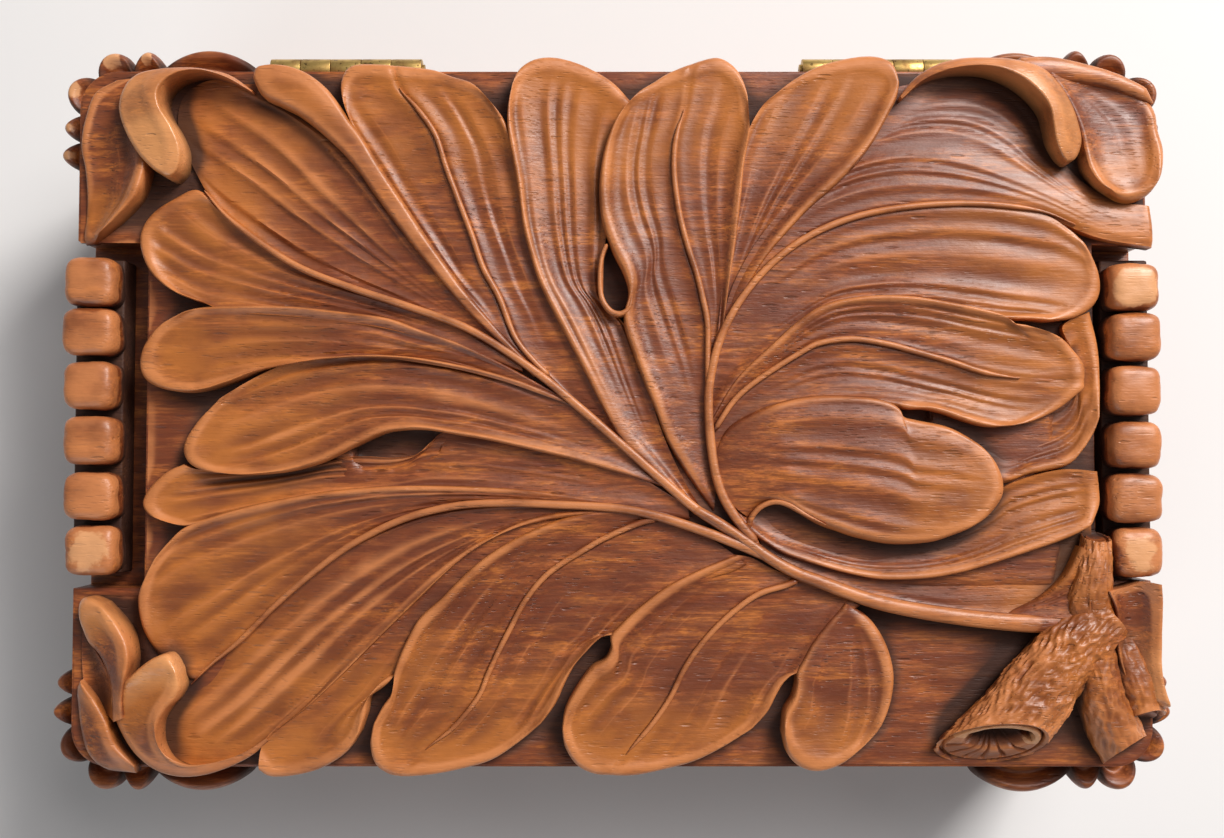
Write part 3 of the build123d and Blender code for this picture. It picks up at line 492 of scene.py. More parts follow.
# Every lobe has, in millimetres: a raised rim set in from its edge, a groove along its vein,
# a rubbed band along its edge, and a plain border that its gouge cuts leave
RIM_PLACE = 1.5
RIM_WIDTH = 1.3
VEIN_DEPTH = 0.35
VEIN_WIDTH = 0.7
RUBBED_BAND = 1.6
PLAIN_END = 1.2
PLAIN_SIDE = 0.4
FULL_CUT = 0.5
HAND_WANDER = 0.12
# A roll takes up no more than this share of its lobe's width
ROLL_SHARE = 0.35


def lay_lobe(
    bm, spine, side, spine_z, side_z, seed, top=(), base=(), flutes=5, depth=0.5, lean=0.4, sharp=0.3,
    dish=0.5, side_roll=0.8, top_roll=0.85, spine_roll=0.0, rim=0.3, vein=True, plain_tip=7.0,
    plain_foot=0.3, polish_and_highlight=0.0, polish_and_highlight_from=0.25, rows=100, columns=56,
):
    """One half lobe. spine and side run from base to tip, top from the side's tip to the
    spine's tip, base from the spine's foot to the side's foot, and both edges' heights are
    given from foot to tip. Its flutes are gouge cuts that fan out from the foot."""
    u = 1 - (1 - np.linspace(0, 1, rows)) ** 1.35
    v = np.linspace(0, 1, columns)
    s = smooth_line(spine, u)
    d = smooth_line(side, u)
    t = smooth_line([d[-1], *top, s[-1]], 1 - v)
    b = smooth_line([s[0], *base, d[0]], v)
    uu = u[:, None, None]
    vv = v[None, :, None]
    ruled = (1 - vv) * s[:, None] + vv * d[:, None]
    lofted = (1 - uu) * b[None] + uu * t[None]
    corners = (1 - uu) * ((1 - vv) * s[0] + vv * d[0]) + uu * ((1 - vv) * s[-1] + vv * d[-1])
    plan = ruled + lofted - corners
    width = np.linalg.norm(np.diff(plan, axis=1), axis=2).sum(axis=1)[:, None]
    reach = (1 - v) * length_of(s) + v * length_of(d)
    uu = u[:, None] * np.ones_like(v)[None]
    vv = v[None] * np.ones_like(u)[:, None]
    from_side = (1 - vv) * width
    from_spine = vv * width
    from_top = (1 - uu) * reach[None]
    from_base = uu * reach[None]
    foot = heights_along(spine_z, u)
    height = foot + (heights_along(side_z, u) - foot) * vv**1.7
    height = height - dish * np.sin(np.pi * vv**0.85) * np.minimum(1, width / 8)
    near = np.minimum(from_side, from_top) if top_roll > 0 else from_side
    if side_roll > 0:
        height = height + rim * bell((near - RIM_PLACE) / RIM_WIDTH) * np.minimum(1, width / 6)
    if vein:
        height = height - VEIN_DEPTH * bell(from_spine / VEIN_WIDTH) * np.minimum(1, width / 3)
    inner = np.clip((vv - 0.02) / np.maximum(1 - 0.9 / np.maximum(width, 1.5), 0.3), 0, 1)
    phase = inner * flutes + 0.14 * np.sin(3.1 * uu * (1 + vv) + seed)
    phase = phase + 0.3 * np.sin(1.9 * inner * flutes + 2.2 * seed) * np.sin(np.pi * inner)
    index = np.floor(phase)
    part = phase - index
    cut = np.where(part < lean, (lean - part) / lean, (part - lean) / (1 - lean))
    by_chance = np.sin(index * 12.9898 + seed * 7.77) * 43758.5453
    by_chance = by_chance - np.floor(by_chance)
    varied = depth * (0.55 + 0.45 * by_chance)
    runout = plain_tip * (0.6 + 0.8 * by_chance)
    strength = smoothstep((from_top - PLAIN_END) / runout)
    strength = strength * smoothstep((uu - 0.1 - 0.1 * by_chance) / plain_foot)
    strength = strength * np.clip(width / flutes / 2.0, 0, 1) * smoothstep((from_side - PLAIN_SIDE) / 1.2)
    strength = strength * (0.8 + 0.2 * np.sin(0.35 * from_base + 9 * by_chance))
    gouge = sharp * (1 - cut**1.5) + (1 - sharp) * 0.5 * (1 + np.cos(np.pi * cut))
    height = height - varied * gouge * strength
    height = height + HAND_WANDER * np.sin(0.55 * from_base + 6 * vv + seed) * (1 - vv) * vv
    if side_roll > 0:
        height = height - rounded_drop(from_side, np.minimum(side_roll, ROLL_SHARE * width))
    if top_roll > 0:
        height = height - rounded_drop(from_top, top_roll * np.ones_like(width))
    if spine_roll > 0:
        height = height - rounded_drop(from_spine, np.minimum(spine_roll, ROLL_SHARE * width))
    # bed is the painted shade in the gouge beds, ridge a painted highlight, partly rubbing, along the tops
    # between cuts, and shine a painted highlight where the wood is polished
    bed = gouge * strength * min(1.0, depth / FULL_CUT)
    ridge = cut**4 * strength * (index > 0) * min(1.0, depth / FULL_CUT)
    tip = smoothstep((uu - 0.45) / 0.45) * smoothstep(width / 8)
    band = 0.75 * bell(from_side / RUBBED_BAND) * smoothstep(uu / 0.5) * (side_roll > 0)
    tip = np.maximum(tip, band)
    shine = polish_and_highlight * smoothstep((uu - polish_and_highlight_from) / (0.75 * (1 - polish_and_highlight_from)))
    marks = (("bed", bed), ("ridge", ridge), ("tip", tip), ("polish_and_highlight", shine))
    place_grid(bm, plan[:, :, 0], plan[:, :, 1], height, marks)


# How lay_lobe is told that a lobe is a plain roll, without flutes or a vein
ROLLED = {"flutes": 1, "depth": 0.0, "vein": False}

leaf_back = bmesh.new()
# Back left: a broad gouged bed under the turned-over corner
lay_lobe(
    leaf_back,
    spine=[
        (-13.2, 7.7), (-17.6, 10.4), (-23.9, 14.0), (-33.4, 17.5), (-41.3, 20.0), (-49.2, 23.2),
        (-55.5, 27.0), (-61.1, 31.4), (-64.6, 35.3),
    ],
    side=[
        (-12.9, 8.3), (-17.9, 13.4), (-23.6, 18.8), (-29.7, 26.4), (-34.4, 33.5), (-38.9, 39.7),
        (-43.0, 44.8), (-47.8, 48.3), (-51.3, 50.1), (-54.8, 51.8), (-57.0, 53.1),
    ],
    top=[(-59.3, 53.1), (-64.5, 53.8), (-68.7, 51.2), (-69.6, 46.4), (-67.7, 41.1)],
    spine_z=(49.3, 49.2, 48.8, 48.2, 47.7), side_z=(49.8, 49.8, 49.6, 48.9, 48.0), flutes=6, dish=0.5,
    depth=0.75, sharp=0.8, lean=0.76, side_roll=0.0, top_roll=0.0, plain_tip=6, plain_foot=0.5, rim=0.0,
    seed=0.3,
)
# Its far edge, rolled over the lobe from the back and running on as a ridge
lay_lobe(
    leaf_back,
    spine=[
        (-12.4, 6.1), (-16.8, 10.5), (-22.4, 15.9), (-27.4, 21.6), (-32.2, 27.6), (-37.0, 34.1),
        (-40.9, 39.5), (-44.9, 43.7), (-49.4, 47.4), (-52.6, 49.1), (-55.4, 50.6), (-56.9, 53.4),
    ],
    side=[
        (-11.0, 6.4), (-14.9, 10.2), (-18.6, 14.3), (-23.3, 19.9), (-28.1, 26.5), (-32.8, 33.5),
        (-37.0, 39.9), (-39.4, 43.9), (-41.5, 46.7), (-44.7, 51.2), (-47.9, 53.9), (-51.0, 55.2),
        (-53.9, 55.5),
    ],
    top=[(-56.1, 55.0)],
    spine_z=(49.8, 50.2, 50.4, 50.9), side_z=(49.8, 50.2, 50.5, 51.0), dish=-0.6, side_roll=0.8,
    spine_roll=0.9, top_roll=0.85, rim=0.0, seed=0.7, **ROLLED,
)
# Second lobe from the left, with its own vein
second_vein = [
    (-9.7, 6.0), (-12.3, 8.5), (-15.3, 12.3), (-17.8, 18.6), (-20.3, 23.2), (-22.1, 28.3),
    (-24.2, 33.8), (-26.3, 39.4), (-28.0, 44.5), (-31.0, 48.8), (-33.6, 51.8), (-34.9, 55.8),
]
lay_lobe(
    leaf_back, spine=second_vein,
    side=[
        (-9.4, 4.9), (-14.5, 8.7), (-19.8, 14.2), (-25.1, 20.0), (-30.0, 26.8), (-34.7, 33.7),
        (-38.7, 40.0), (-40.5, 44.2), (-41.5, 47.4),
    ],
    top=[(-42.8, 50.4), (-43.1, 53.0), (-42.2, 55.2), (-40.0, 56.0)],
    spine_z=(49.4, 49.7, 49.9), side_z=(49.6, 49.7, 50.3), flutes=3, depth=0.35, seed=1.0,
)
lay_lobe(
    leaf_back, spine=second_vein,
    side=[
        (2.5, -5.0), (0.0, 1.3), (-3.5, 7.4), (-6.1, 12.3), (-9.3, 18.8), (-11.2, 23.2), (-12.8, 29.5),
        (-13.6, 36.0), (-14.7, 40.2), (-16.0, 44.3), (-17.4, 47.4), (-19.6, 50.1),
    ],
    top=[(-22.2, 52.8), (-25.7, 54.1), (-28.8, 55.2)],
    base=[(-5.0, 1.6), (-0.3, -2.7)],
    spine_z=(49.3, 49.5, 49.8), side_z=(49.4, 49.4, 50.2), flutes=3, dish=0.6, depth=0.35, seed=2.0,
)
# Third lobe: broad, no vein of its own, its left edge a ridge down to the rib
lay_lobe(
    leaf_back,
    spine=[
        (13.8, -14.3), (11.9, -11.3), (9.4, -6.3), (7.5, -1.6), (6.0, 3.1), (4.7, 7.9), (3.5, 11.8),
        (1.6, 14.8), (-0.5, 16.5), (-1.3, 18.4), (-1.4, 21.8), (-1.3, 24.8), (-0.9, 30.0), (-0.9, 36.0),
        (-0.2, 41.5), (1.1, 45.9), (3.2, 49.9),
    ],
    side=[
        (9.4, -11.4), (4.9, -7.2), (1.1, -3.5), (-1.9, 2.0), (-4.7, 7.5), (-7.2, 12.3), (-10.6, 18.9),
        (-12.3, 23.2), (-14.0, 29.5), (-14.9, 36.0), (-15.7, 40.2), (-16.5, 45.1), (-16.5, 48.8),
        (-15.8, 52.5),
    ],
    top=[(-14.6, 55.0), (-12.4, 56.6), (-9.5, 57.1), (-6.2, 56.5), (-3.0, 55.2), (0.3, 53.1)],
    base=[(11.0, -12.1)],
    spine_z=(49.4, 49.4, 49.2, 49.2), side_z=(49.9, 50.3, 50.6, 50.8), flutes=6, depth=0.42, vein=False,
    side_roll=0.8, seed=3.0,
)
# Fourth lobe: lies over both its neighbours, down to the eye at its left edge
fourth_vein = [
    (15.2, 2.4), (15.1, 8.0), (15.1, 14.3), (14.3, 18.6), (13.4, 22.4), (12.0, 26.7), (10.7, 31.8),
    (9.9, 37.6), (9.9, 41.9), (10.5, 45.4), (11.4, 48.3), (12.7, 56.0),
]
lay_lobe(
    leaf_back, spine=fourth_vein,
    side=[
        (16.0, -15.4), (12.2, -9.9), (8.9, -4.6), (6.9, 0.5), (4.9, 5.5), (3.1, 10.4), (2.0, 13.7),
        (1.9, 16.2), (2.5, 18.3), (2.5, 20.3), (1.7, 22.7), (0.0, 26.0), (-1.6, 30.8), (-2.0, 36.0),
        (-1.3, 41.5), (0.3, 46.2), (2.5, 49.3),
    ],
    top=[(4.4, 51.4), (6.7, 53.0), (9.2, 54.6)],
    base=[(15.7, -3.9), (16.5, -9.6)],
    spine_z=(49.3, 49.6, 50.0), side_z=(48.6, 50.2, 50.8, 50.9, 51.0), flutes=4, depth=0.42,
    side_roll=0.8, seed=4.0,
)
lay_lobe(
    leaf_back, spine=fourth_vein,
    side=[
        (17.5, 12.9), (18.6, 21.1), (19.6, 27.5), (20.4, 34.3), (20.9, 39.4), (21.7, 44.5), (21.5, 48.0),
    ],
    top=[(21.4, 51.2), (20.4, 54.1), (18.9, 56.0), (16.5, 57.0)],
    base=[(15.9, 7.7)],
    spine_z=(49.3, 49.7, 50.0), side_z=(49.8, 50.3, 50.8), flutes=3, depth=0.35, dish=0.55, seed=5.0,
)
# Fifth lobe
lay_lobe(
    leaf_back,
    spine=[
        (16.5, 10.9), (17.2, 18.1), (18.1, 26.8), (19.0, 34.0), (19.6, 39.1), (20.9, 43.2), (22.2, 46.4),
        (23.8, 49.0), (25.8, 50.9),
    ],
    side=[
        (17.9, 13.1), (20.5, 18.6), (24.3, 24.8), (29.0, 30.3), (31.9, 33.3), (34.9, 35.9), (38.4, 39.4),
        (41.3, 43.2), (43.7, 47.5), (45.0, 50.1), (45.5, 52.5),
    ],
    top=[(44.5, 55.7), (42.1, 57.0), (38.3, 57.0), (33.0, 55.7), (28.8, 53.4)],
    spine_z=(49.4, 49.4, 49.6), side_z=(49.8, 50.4, 50.9), flutes=5, depth=0.4, vein=False,
    side_roll=0.85, seed=6.0,
)
# Back right: fluted bed that sinks under the turned-over corner and runs out to the right edge
lay_lobe(
    leaf_back,
    spine=[
        (17.3, 14.6), (19.8, 18.4), (22.5, 21.4), (24.9, 23.8), (31.2, 28.6), (39.2, 31.8), (48.6, 33.2),
        (58.1, 33.3), (67.6, 31.9), (77.0, 28.3), (86.0, 26.7),
    ],
    side=[
        (43.1, 51.8), (48.0, 53.1), (52.8, 54.4), (59.1, 54.2), (64.3, 52.2), (68.1, 48.0), (70.9, 42.6),
        (74.8, 37.6), (80.2, 34.3), (85.7, 33.3),
    ],
    top=[(85.9, 30.0)],
    base=[
        (19.1, 20.5), (22.4, 26.7), (26.8, 32.4), (32.1, 37.8), (36.1, 41.6), (38.9, 45.4), (41.2, 49.0),
    ],
    spine_z=(49.4, 49.6, 49.6, 49.2, 48.9), side_z=(48.8, 47.6, 47.0, 47.2, 48.0, 48.6), flutes=7,
    depth=0.42, sharp=0.3, lean=0.6, dish=-0.3, side_roll=0.0, top_roll=0.8, plain_tip=42,
    plain_foot=0.12, rim=0.0, rows=130, columns=100, seed=7.0,
)
finish_carving(leaf_back, "leaf_lobes_back")

leaf_right = bmesh.new()
# Right: long fluted lobe below the right-hand rib
lay_lobe(
    leaf_right,
    spine=[
        (15.9, 7.4), (17.3, 12.6), (20.2, 18.1), (24.9, 23.7), (31.2, 28.4), (39.2, 31.6), (48.6, 33.2),
        (58.1, 33.5), (67.6, 32.1), (72.3, 29.5), (75.4, 26.4),
    ],
    side=[
        (15.5, -1.6), (19.2, 4.4), (24.1, 8.8), (29.6, 13.1), (33.8, 15.9), (40.2, 16.9), (46.5, 16.9),
        (53.2, 15.9), (58.7, 15.1), (62.3, 15.0), (65.8, 15.0), (68.9, 14.8),
    ],
    top=[(73.0, 15.4), (75.9, 17.0), (77.3, 19.4), (77.1, 22.6)],
    spine_z=(49.3, 49.6, 49.7), side_z=(49.4, 49.4, 49.6, 50.2), flutes=5, depth=0.5, sharp=0.25,
    plain_tip=6, side_roll=0.8, seed=8.0,
)
# Next lobe, with its own vein
right_vein = [
    (16.0, -2.5), (19.3, 2.4), (23.3, 5.8), (29.6, 9.8), (32.9, 11.4), (38.0, 12.0), (43.4, 11.2),
    (48.5, 9.8), (53.1, 8.5), (58.2, 6.8), (62.4, 6.0), (65.7, 5.7), (74.5, 5.2),
]
lay_lobe(
    leaf_right, spine=right_vein,
    side=[
        (15.7, -0.6), (19.8, 6.0), (24.9, 10.9), (29.6, 15.1), (33.9, 17.6), (40.2, 18.8), (46.5, 18.8),
        (53.2, 17.8), (58.3, 16.7), (61.2, 15.8), (62.6, 14.6), (64.8, 14.2), (68.1, 13.2),
    ],
    top=[(70.8, 12.1), (72.8, 10.2), (74.4, 7.9)],
    spine_z=(49.4, 49.8, 50.2), side_z=(50.0, 50.5, 50.8, 50.9), flutes=4, depth=0.35, plain_tip=14,
    side_roll=0.85, seed=9.0,
)
lay_lobe(
    leaf_right, spine=right_vein,
    side=[
        (16.3, -7.1), (20.6, -3.0), (24.8, -0.5), (29.5, 0.8), (33.8, 1.9), (40.0, 1.9), (44.0, 1.3),
        (46.5, 0.9), (49.2, 0.9), (51.7, 0.3), (54.2, -0.6), (56.7, -1.4), (59.3, -1.9), (62.8, -1.7),
    ],
    top=[(66.4, -0.9), (70.3, 0.9), (73.0, 3.0), (74.3, 4.2)],
    base=[(16.0, -4.7)],
    spine_z=(49.4, 49.8, 50.2), side_z=(49.5, 49.6, 50.4, 50.8), flutes=4, depth=0.35, dish=0.6,
    plain_tip=13, side_roll=0.95, seed=10.0,
)
# Bed behind the two rolled lobes, at the right edge of the lid
lay_lobe(
    leaf_right,
    spine=[
        (49.9, 2.4), (57.8, 0.5), (65.6, 0.8), (70.7, 2.7), (73.2, 5.5), (73.0, 10.2), (71.5, 14.2),
        (75.9, 16.5),
    ],
    side=[
        (51.5, -4.9), (58.5, -8.6), (61.3, -10.8), (65.5, -9.4), (71.5, -8.0), (74.0, -5.8), (75.8, -3.0),
        (76.8, -0.3),
    ],
    top=[(77.3, 5.5), (77.2, 11.0)],
    spine_z=(48.2, 48.4, 48.6), side_z=(48.8, 49.4, 49.7), flutes=5, vein=False, depth=0.4, sharp=0.5,
    plain_tip=3, seed=11.0,
)
# Rolled lobe in the middle of the right side: its lower edge is turned up and over
lay_lobe(
    leaf_right,
    spine=[
        (16.0, -5.2), (18.8, -1.4), (25.0, 1.6), (31.1, 3.0), (38.5, 3.0), (42.6, 2.4), (44.8, 1.3),
        (45.7, -0.2), (47.7, -0.8), (52.7, -1.9), (56.9, -4.2), (59.3, -6.4),
    ],
    side=[
        (21.6, -16.3), (23.0, -14.4), (25.2, -13.8), (27.9, -14.4), (29.9, -15.8), (32.6, -17.3),
        (35.4, -18.3), (38.5, -19.3), (43.6, -20.2), (49.6, -19.9), (53.7, -18.6), (56.3, -17.5),
    ],
    top=[(58.9, -15.5), (60.8, -12.9), (61.1, -10.5), (60.4, -8.2)],
    base=[(16.5, -9.3), (18.5, -13.6)],
    spine_z=(49.3, 50.6, 51.1, 51.3, 51.4), side_z=(49.9, 51.4, 51.9, 52.1, 52.1), flutes=6, depth=0.42,
    dish=-0.5, side_roll=1.9, spine_roll=1.1, top_roll=1.7, rim=0.0, vein=False, plain_tip=14,
    plain_foot=0.18, rows=120, columns=80, seed=12.0,
)
# Lower band, under the rolled lobe
lay_lobe(
    leaf_right,
    spine=[
        (18.7, -7.1), (20.5, -12.1), (24.0, -15.0), (29.4, -17.7), (34.9, -19.6), (40.4, -20.0),
        (48.2, -19.3), (54.8, -16.8), (59.2, -13.8), (62.1, -11.1), (67.1, -9.3), (71.8, -8.5),
        (76.5, -8.9),
    ],
    side=[
        (20.2, -16.8), (21.9, -18.6), (24.2, -20.2), (27.1, -21.9), (31.4, -23.3), (36.4, -24.7),
        (41.6, -25.7), (46.0, -25.8), (50.2, -25.5), (54.6, -24.7), (58.9, -23.5), (65.4, -21.4),
        (71.4, -19.3), (75.1, -17.4),
    ],
    top=[(76.7, -14.1), (76.8, -11.4)],
    base=[(19.0, -11.8)],
    spine_z=(49.4, 48.2, 48.0, 48.4, 49.2, 49.5), side_z=(49.5, 50.0, 50.2, 50.3, 50.4), flutes=6,
    vein=False, depth=0.4, dish=0.35, side_roll=0.8, plain_tip=5, seed=13.0,
)
# Bed between the band and the stem
lay_lobe(
    leaf_right,
    spine=[
        (23.2, -19.6), (27.1, -20.8), (31.4, -22.1), (41.6, -24.3), (50.2, -23.9), (59.0, -22.1),
        (65.4, -20.0), (71.4, -17.7), (75.6, -15.8),
    ],
    side=[(24.4, -22.1), (32.5, -25.8), (41.9, -29.2), (54.3, -31.6), (66.8, -32.3), (73.1, -31.7)],
    top=[(74.7, -27.4), (75.7, -21.1)],
    spine_z=(48.8, 48.4), side_z=(49.2, 48.8, 48.8), flutes=3, vein=False, side_roll=0, top_roll=0,
    depth=0.2, rim=0.0, seed=14.0,
)
finish_carving(leaf_right, "leaf_lobes_right")

leaf_left = bmesh.new()
# Left: small fluted lobe below the left-hand rib
lay_lobe(
    leaf_left,
    spine=[
        (-14.5, 8.7), (-23.9, 14.0), (-33.4, 17.6), (-41.3, 20.2), (-49.2, 23.3), (-55.5, 27.2),
        (-61.1, 31.6), (-64.6, 35.3),
    ],
    side=[
        (-14.1, 6.8), (-22.3, 9.8), (-28.6, 11.8), (-35.3, 13.5), (-41.6, 14.5), (-50.1, 15.4),
        (-58.4, 15.8), (-61.4, 16.4), (-63.9, 17.5), (-65.5, 18.0), (-68.4, 19.1),
    ],
    top=[
        (-71.1, 20.8), (-73.5, 23.3), (-74.9, 26.7), (-74.8, 29.7), (-72.9, 32.5), (-69.7, 34.6),
        (-66.7, 36.0),
    ],
    spine_z=(49.3, 49.2, 49.0), side_z=(49.3, 49.3, 49.5, 50.2), flutes=5, depth=0.6, sharp=0.8, lean=0.7,
    plain_tip=3, side_roll=0.75, seed=15.0,
)
# Left, second lobe: both its edges roll over its neighbours
lay_lobe(
    leaf_left,
    spine=[
        (-0.9, -2.0), (-5.7, 1.9), (-11.3, 4.9), (-17.6, 8.3), (-23.9, 11.3), (-30.2, 13.5),
        (-35.3, 15.3), (-41.6, 16.2), (-50.0, 17.1), (-58.4, 17.2), (-64.3, 17.0), (-67.7, 16.1),
    ],
    side=[
        (-0.3, -3.3), (-2.5, -0.5), (-6.6, 2.2), (-13.2, 5.0), (-19.2, 6.8), (-24.5, 8.0), (-30.2, 9.0),
        (-34.9, 9.4), (-40.4, 9.4), (-46.2, 8.8), (-51.4, 7.9), (-55.6, 6.9), (-59.1, 5.5), (-63.2, 4.1),
    ],
    top=[(-66.8, 3.6), (-70.9, 4.2), (-73.6, 5.7), (-74.5, 8.0), (-73.9, 10.9), (-71.5, 14.0)],
    spine_z=(49.6, 50.0, 50.4, 50.7), side_z=(49.6, 50.0, 50.5, 50.9), flutes=4, depth=0.45, dish=0.95,
    lean=0.6, spine_roll=0.8, side_roll=0.8, vein=False, plain_tip=12, seed=16.0,
)
# Left, third lobe, over the eye
lay_lobe(
    leaf_left,
    spine=[
        (6.9, -8.8), (2.0, -5.2), (-2.7, -0.8), (-8.2, 3.0), (-14.5, 6.1), (-22.3, 9.0), (-30.2, 10.2),
        (-37.3, 10.5), (-43.6, 10.1), (-49.1, 9.0), (-53.8, 7.1), (-58.0, 4.9), (-62.2, 2.2),
    ],
    side=[
        (9.7, -11.9), (2.0, -9.4), (-5.6, -7.2), (-11.3, -5.8), (-18.8, -4.1), (-24.5, -3.1),
        (-27.9, -2.5), (-30.4, -2.3), (-33.0, -2.4), (-35.6, -2.8), (-38.6, -4.1), (-41.4, -5.5),
        (-45.5, -7.5), (-50.6, -8.9), (-56.0, -9.4), (-59.6, -9.3),
    ],
    top=[(-63.8, -8.8), (-66.6, -7.5), (-67.5, -4.9), (-65.6, -1.3)],
    spine_z=(49.5, 49.5, 49.4, 49.8), side_z=(49.5, 50.0, 50.6, 50.9, 51.0), flutes=5, depth=0.6,
    vein=False, lean=0.65, side_roll=0.9, plain_tip=9, seed=17.0,
)
# Left, fourth lobe, below the eye
lay_lobe(
    leaf_left,
    spine=[
        (11.9, -14.3), (2.8, -8.9), (-5.6, -6.0), (-11.3, -4.6), (-18.8, -3.0), (-24.6, -2.4),
        (-27.5, -3.1), (-28.9, -4.9), (-31.4, -6.3), (-34.8, -6.7), (-38.0, -6.5), (-41.1, -6.6),
        (-45.6, -7.5), (-50.6, -8.3), (-56.1, -8.6), (-61.1, -8.8), (-65.4, -8.5), (-67.7, -7.7),
    ],
    side=[
        (12.2, -16.5), (5.9, -15.5), (-1.9, -14.3), (-11.3, -13.2), (-20.7, -12.4), (-33.2, -12.2),
        (-44.2, -13.0), (-53.6, -14.6), (-60.6, -16.1), (-66.1, -17.4), (-69.5, -16.9),
    ],
    top=[(-72.8, -15.7), (-74.1, -13.8), (-73.0, -11.3), (-70.4, -8.9)],
    spine_z=(49.4, 49.1, 48.6, 48.6, 49.0), side_z=(49.4, 49.4, 49.6, 50.2), flutes=5, vein=False,
    depth=0.5, dish=0.6, plain_tip=6, seed=18.0,
)
# Left, fifth lobe, down to the lower rib
lower_rib_side = [
    (12.2, -17.4), (5.9, -15.7), (1.3, -14.7), (-8.1, -14.1), (-17.5, -13.8), (-25.4, -14.4),
    (-33.2, -16.5), (-41.0, -20.4), (-47.2, -25.0), (-52.6, -29.7), (-58.0, -35.1), (-62.7, -39.0),
    (-65.5, -41.8),
]
lay_lobe(
    leaf_left, spine=lower_rib_side,
    side=[
        (12.5, -16.8), (6.0, -14.6), (-1.9, -13.2), (-11.3, -11.9), (-20.7, -11.3), (-33.2, -11.1),
        (-44.2, -11.9), (-53.6, -13.5), (-60.6, -15.2), (-66.4, -17.2), (-69.2, -19.6), (-71.5, -22.4),
    ],
    top=[(-73.3, -25.7), (-74.4, -28.9), (-73.8, -33.3), (-71.8, -37.0), (-68.6, -40.3)],
    spine_z=(49.3, 49.3, 49.2), side_z=(49.5, 49.7, 49.9, 50.3), flutes=5, depth=0.5, dish=0.4,
    side_roll=0.8, plain_tip=6, seed=19.0,
)
finish_carving(leaf_left, "leaf_lobes_left")

leaf_front = bmesh.new()
# Lower left: broad fluted lobe that runs into the corner
lay_lobe(
    leaf_front, spine=lower_rib_side,
    side=[
        (4.4, -15.5), (-1.9, -14.9), (-10.5, -15.7), (-17.5, -18.3), (-23.8, -22.7), (-30.0, -28.6),
        (-35.4, -33.9), (-41.6, -40.1), (-47.0, -45.2), (-51.7, -48.8), (-55.4, -52.2),
    ],
    top=[(-58.3, -54.2), (-61.9, -54.8), (-65.6, -54.8), (-69.4, -52.8), (-71.3, -49.1), (-70.7, -44.4)],
    spine_z=(49.3, 49.3, 49.2, 48.6), side_z=(49.6, 49.9, 50.0, 49.8), flutes=6, depth=0.55,
    side_roll=0.7, top_roll=0.0, seed=20.0,
)
# Small lobe beside it
lay_lobe(
    leaf_front,
    spine=[
        (4.4, -15.8), (-3.4, -14.7), (-11.3, -15.8), (-18.2, -17.9), (-24.6, -22.2), (-30.9, -28.1),
        (-36.4, -33.4), (-42.6, -39.6), (-48.0, -44.7), (-52.3, -48.6), (-54.5, -51.5), (-55.0, -55.5),
    ],
    side=[
        (5.9, -16.5), (-0.3, -16.5), (-7.2, -17.7), (-12.2, -19.7), (-17.5, -22.7), (-21.7, -26.0),
        (-25.9, -30.2), (-29.3, -33.4), (-31.8, -37.5), (-33.4, -39.9), (-35.1, -40.9), (-36.8, -42.4),
        (-37.9, -44.4), (-38.3, -46.6), (-39.2, -49.5),
    ],
    top=[(-41.4, -52.6), (-45.2, -55.1), (-49.3, -56.3), (-53.2, -56.5)],
    spine_z=(49.3, 49.3, 49.5, 49.9), side_z=(49.4, 49.5, 49.7, 50.4), flutes=3, vein=False, depth=0.35,
    seed=21.0,
)
# Large lobe with a vein, left of the middle
first_front_vein = [
    (7.5, -16.3), (4.5, -16.9), (-0.3, -18.9), (-3.8, -20.8), (-9.7, -24.6), (-13.4, -28.8),
    (-15.9, -33.4), (-17.6, -36.7), (-19.3, -40.4), (-20.9, -44.1), (-24.7, -48.7), (-29.1, -52.2),
    (-33.0, -56.5),
]
lay_lobe(
    leaf_front, spine=first_front_vein,
    side=[
        (4.4, -15.5), (-1.1, -14.9), (-8.0, -16.3), (-13.1, -18.3), (-18.5, -21.3), (-22.7, -24.6),
        (-26.9, -28.8), (-30.3, -32.0), (-32.6, -36.4), (-33.8, -39.6), (-34.0, -41.6), (-34.4, -43.5),
        (-35.7, -45.4), (-37.1, -48.1),
    ],
    top=[(-37.7, -51.5), (-37.0, -54.5), (-35.1, -56.0)],
    spine_z=(49.3, 49.5, 49.9), side_z=(49.6, 50.2, 50.6, 50.9), flutes=3, depth=0.45, side_roll=0.85,
    plain_tip=7, seed=22.0,
)
lay_lobe(
    leaf_front, spine=first_front_vein,
    side=[
        (21.3, -23.6), (19.2, -24.7), (13.8, -26.4), (8.9, -28.8), (4.5, -32.0), (1.9, -33.9),
        (0.0, -34.0), (-1.7, -34.8), (-3.4, -36.4), (-5.5, -38.7), (-7.2, -41.6), (-8.7, -44.9),
        (-10.9, -48.0),
    ],
    top=[(-14.2, -50.8), (-18.4, -53.7), (-22.5, -55.1), (-28.0, -56.2)],
    base=[(12.2, -17.7), (17.2, -20.5)],
    spine_z=(49.3, 49.5, 49.9), side_z=(49.5, 49.6, 49.9, 50.4), flutes=4, depth=0.42, dish=0.65,
    plain_tip=7, seed=23.0,
)
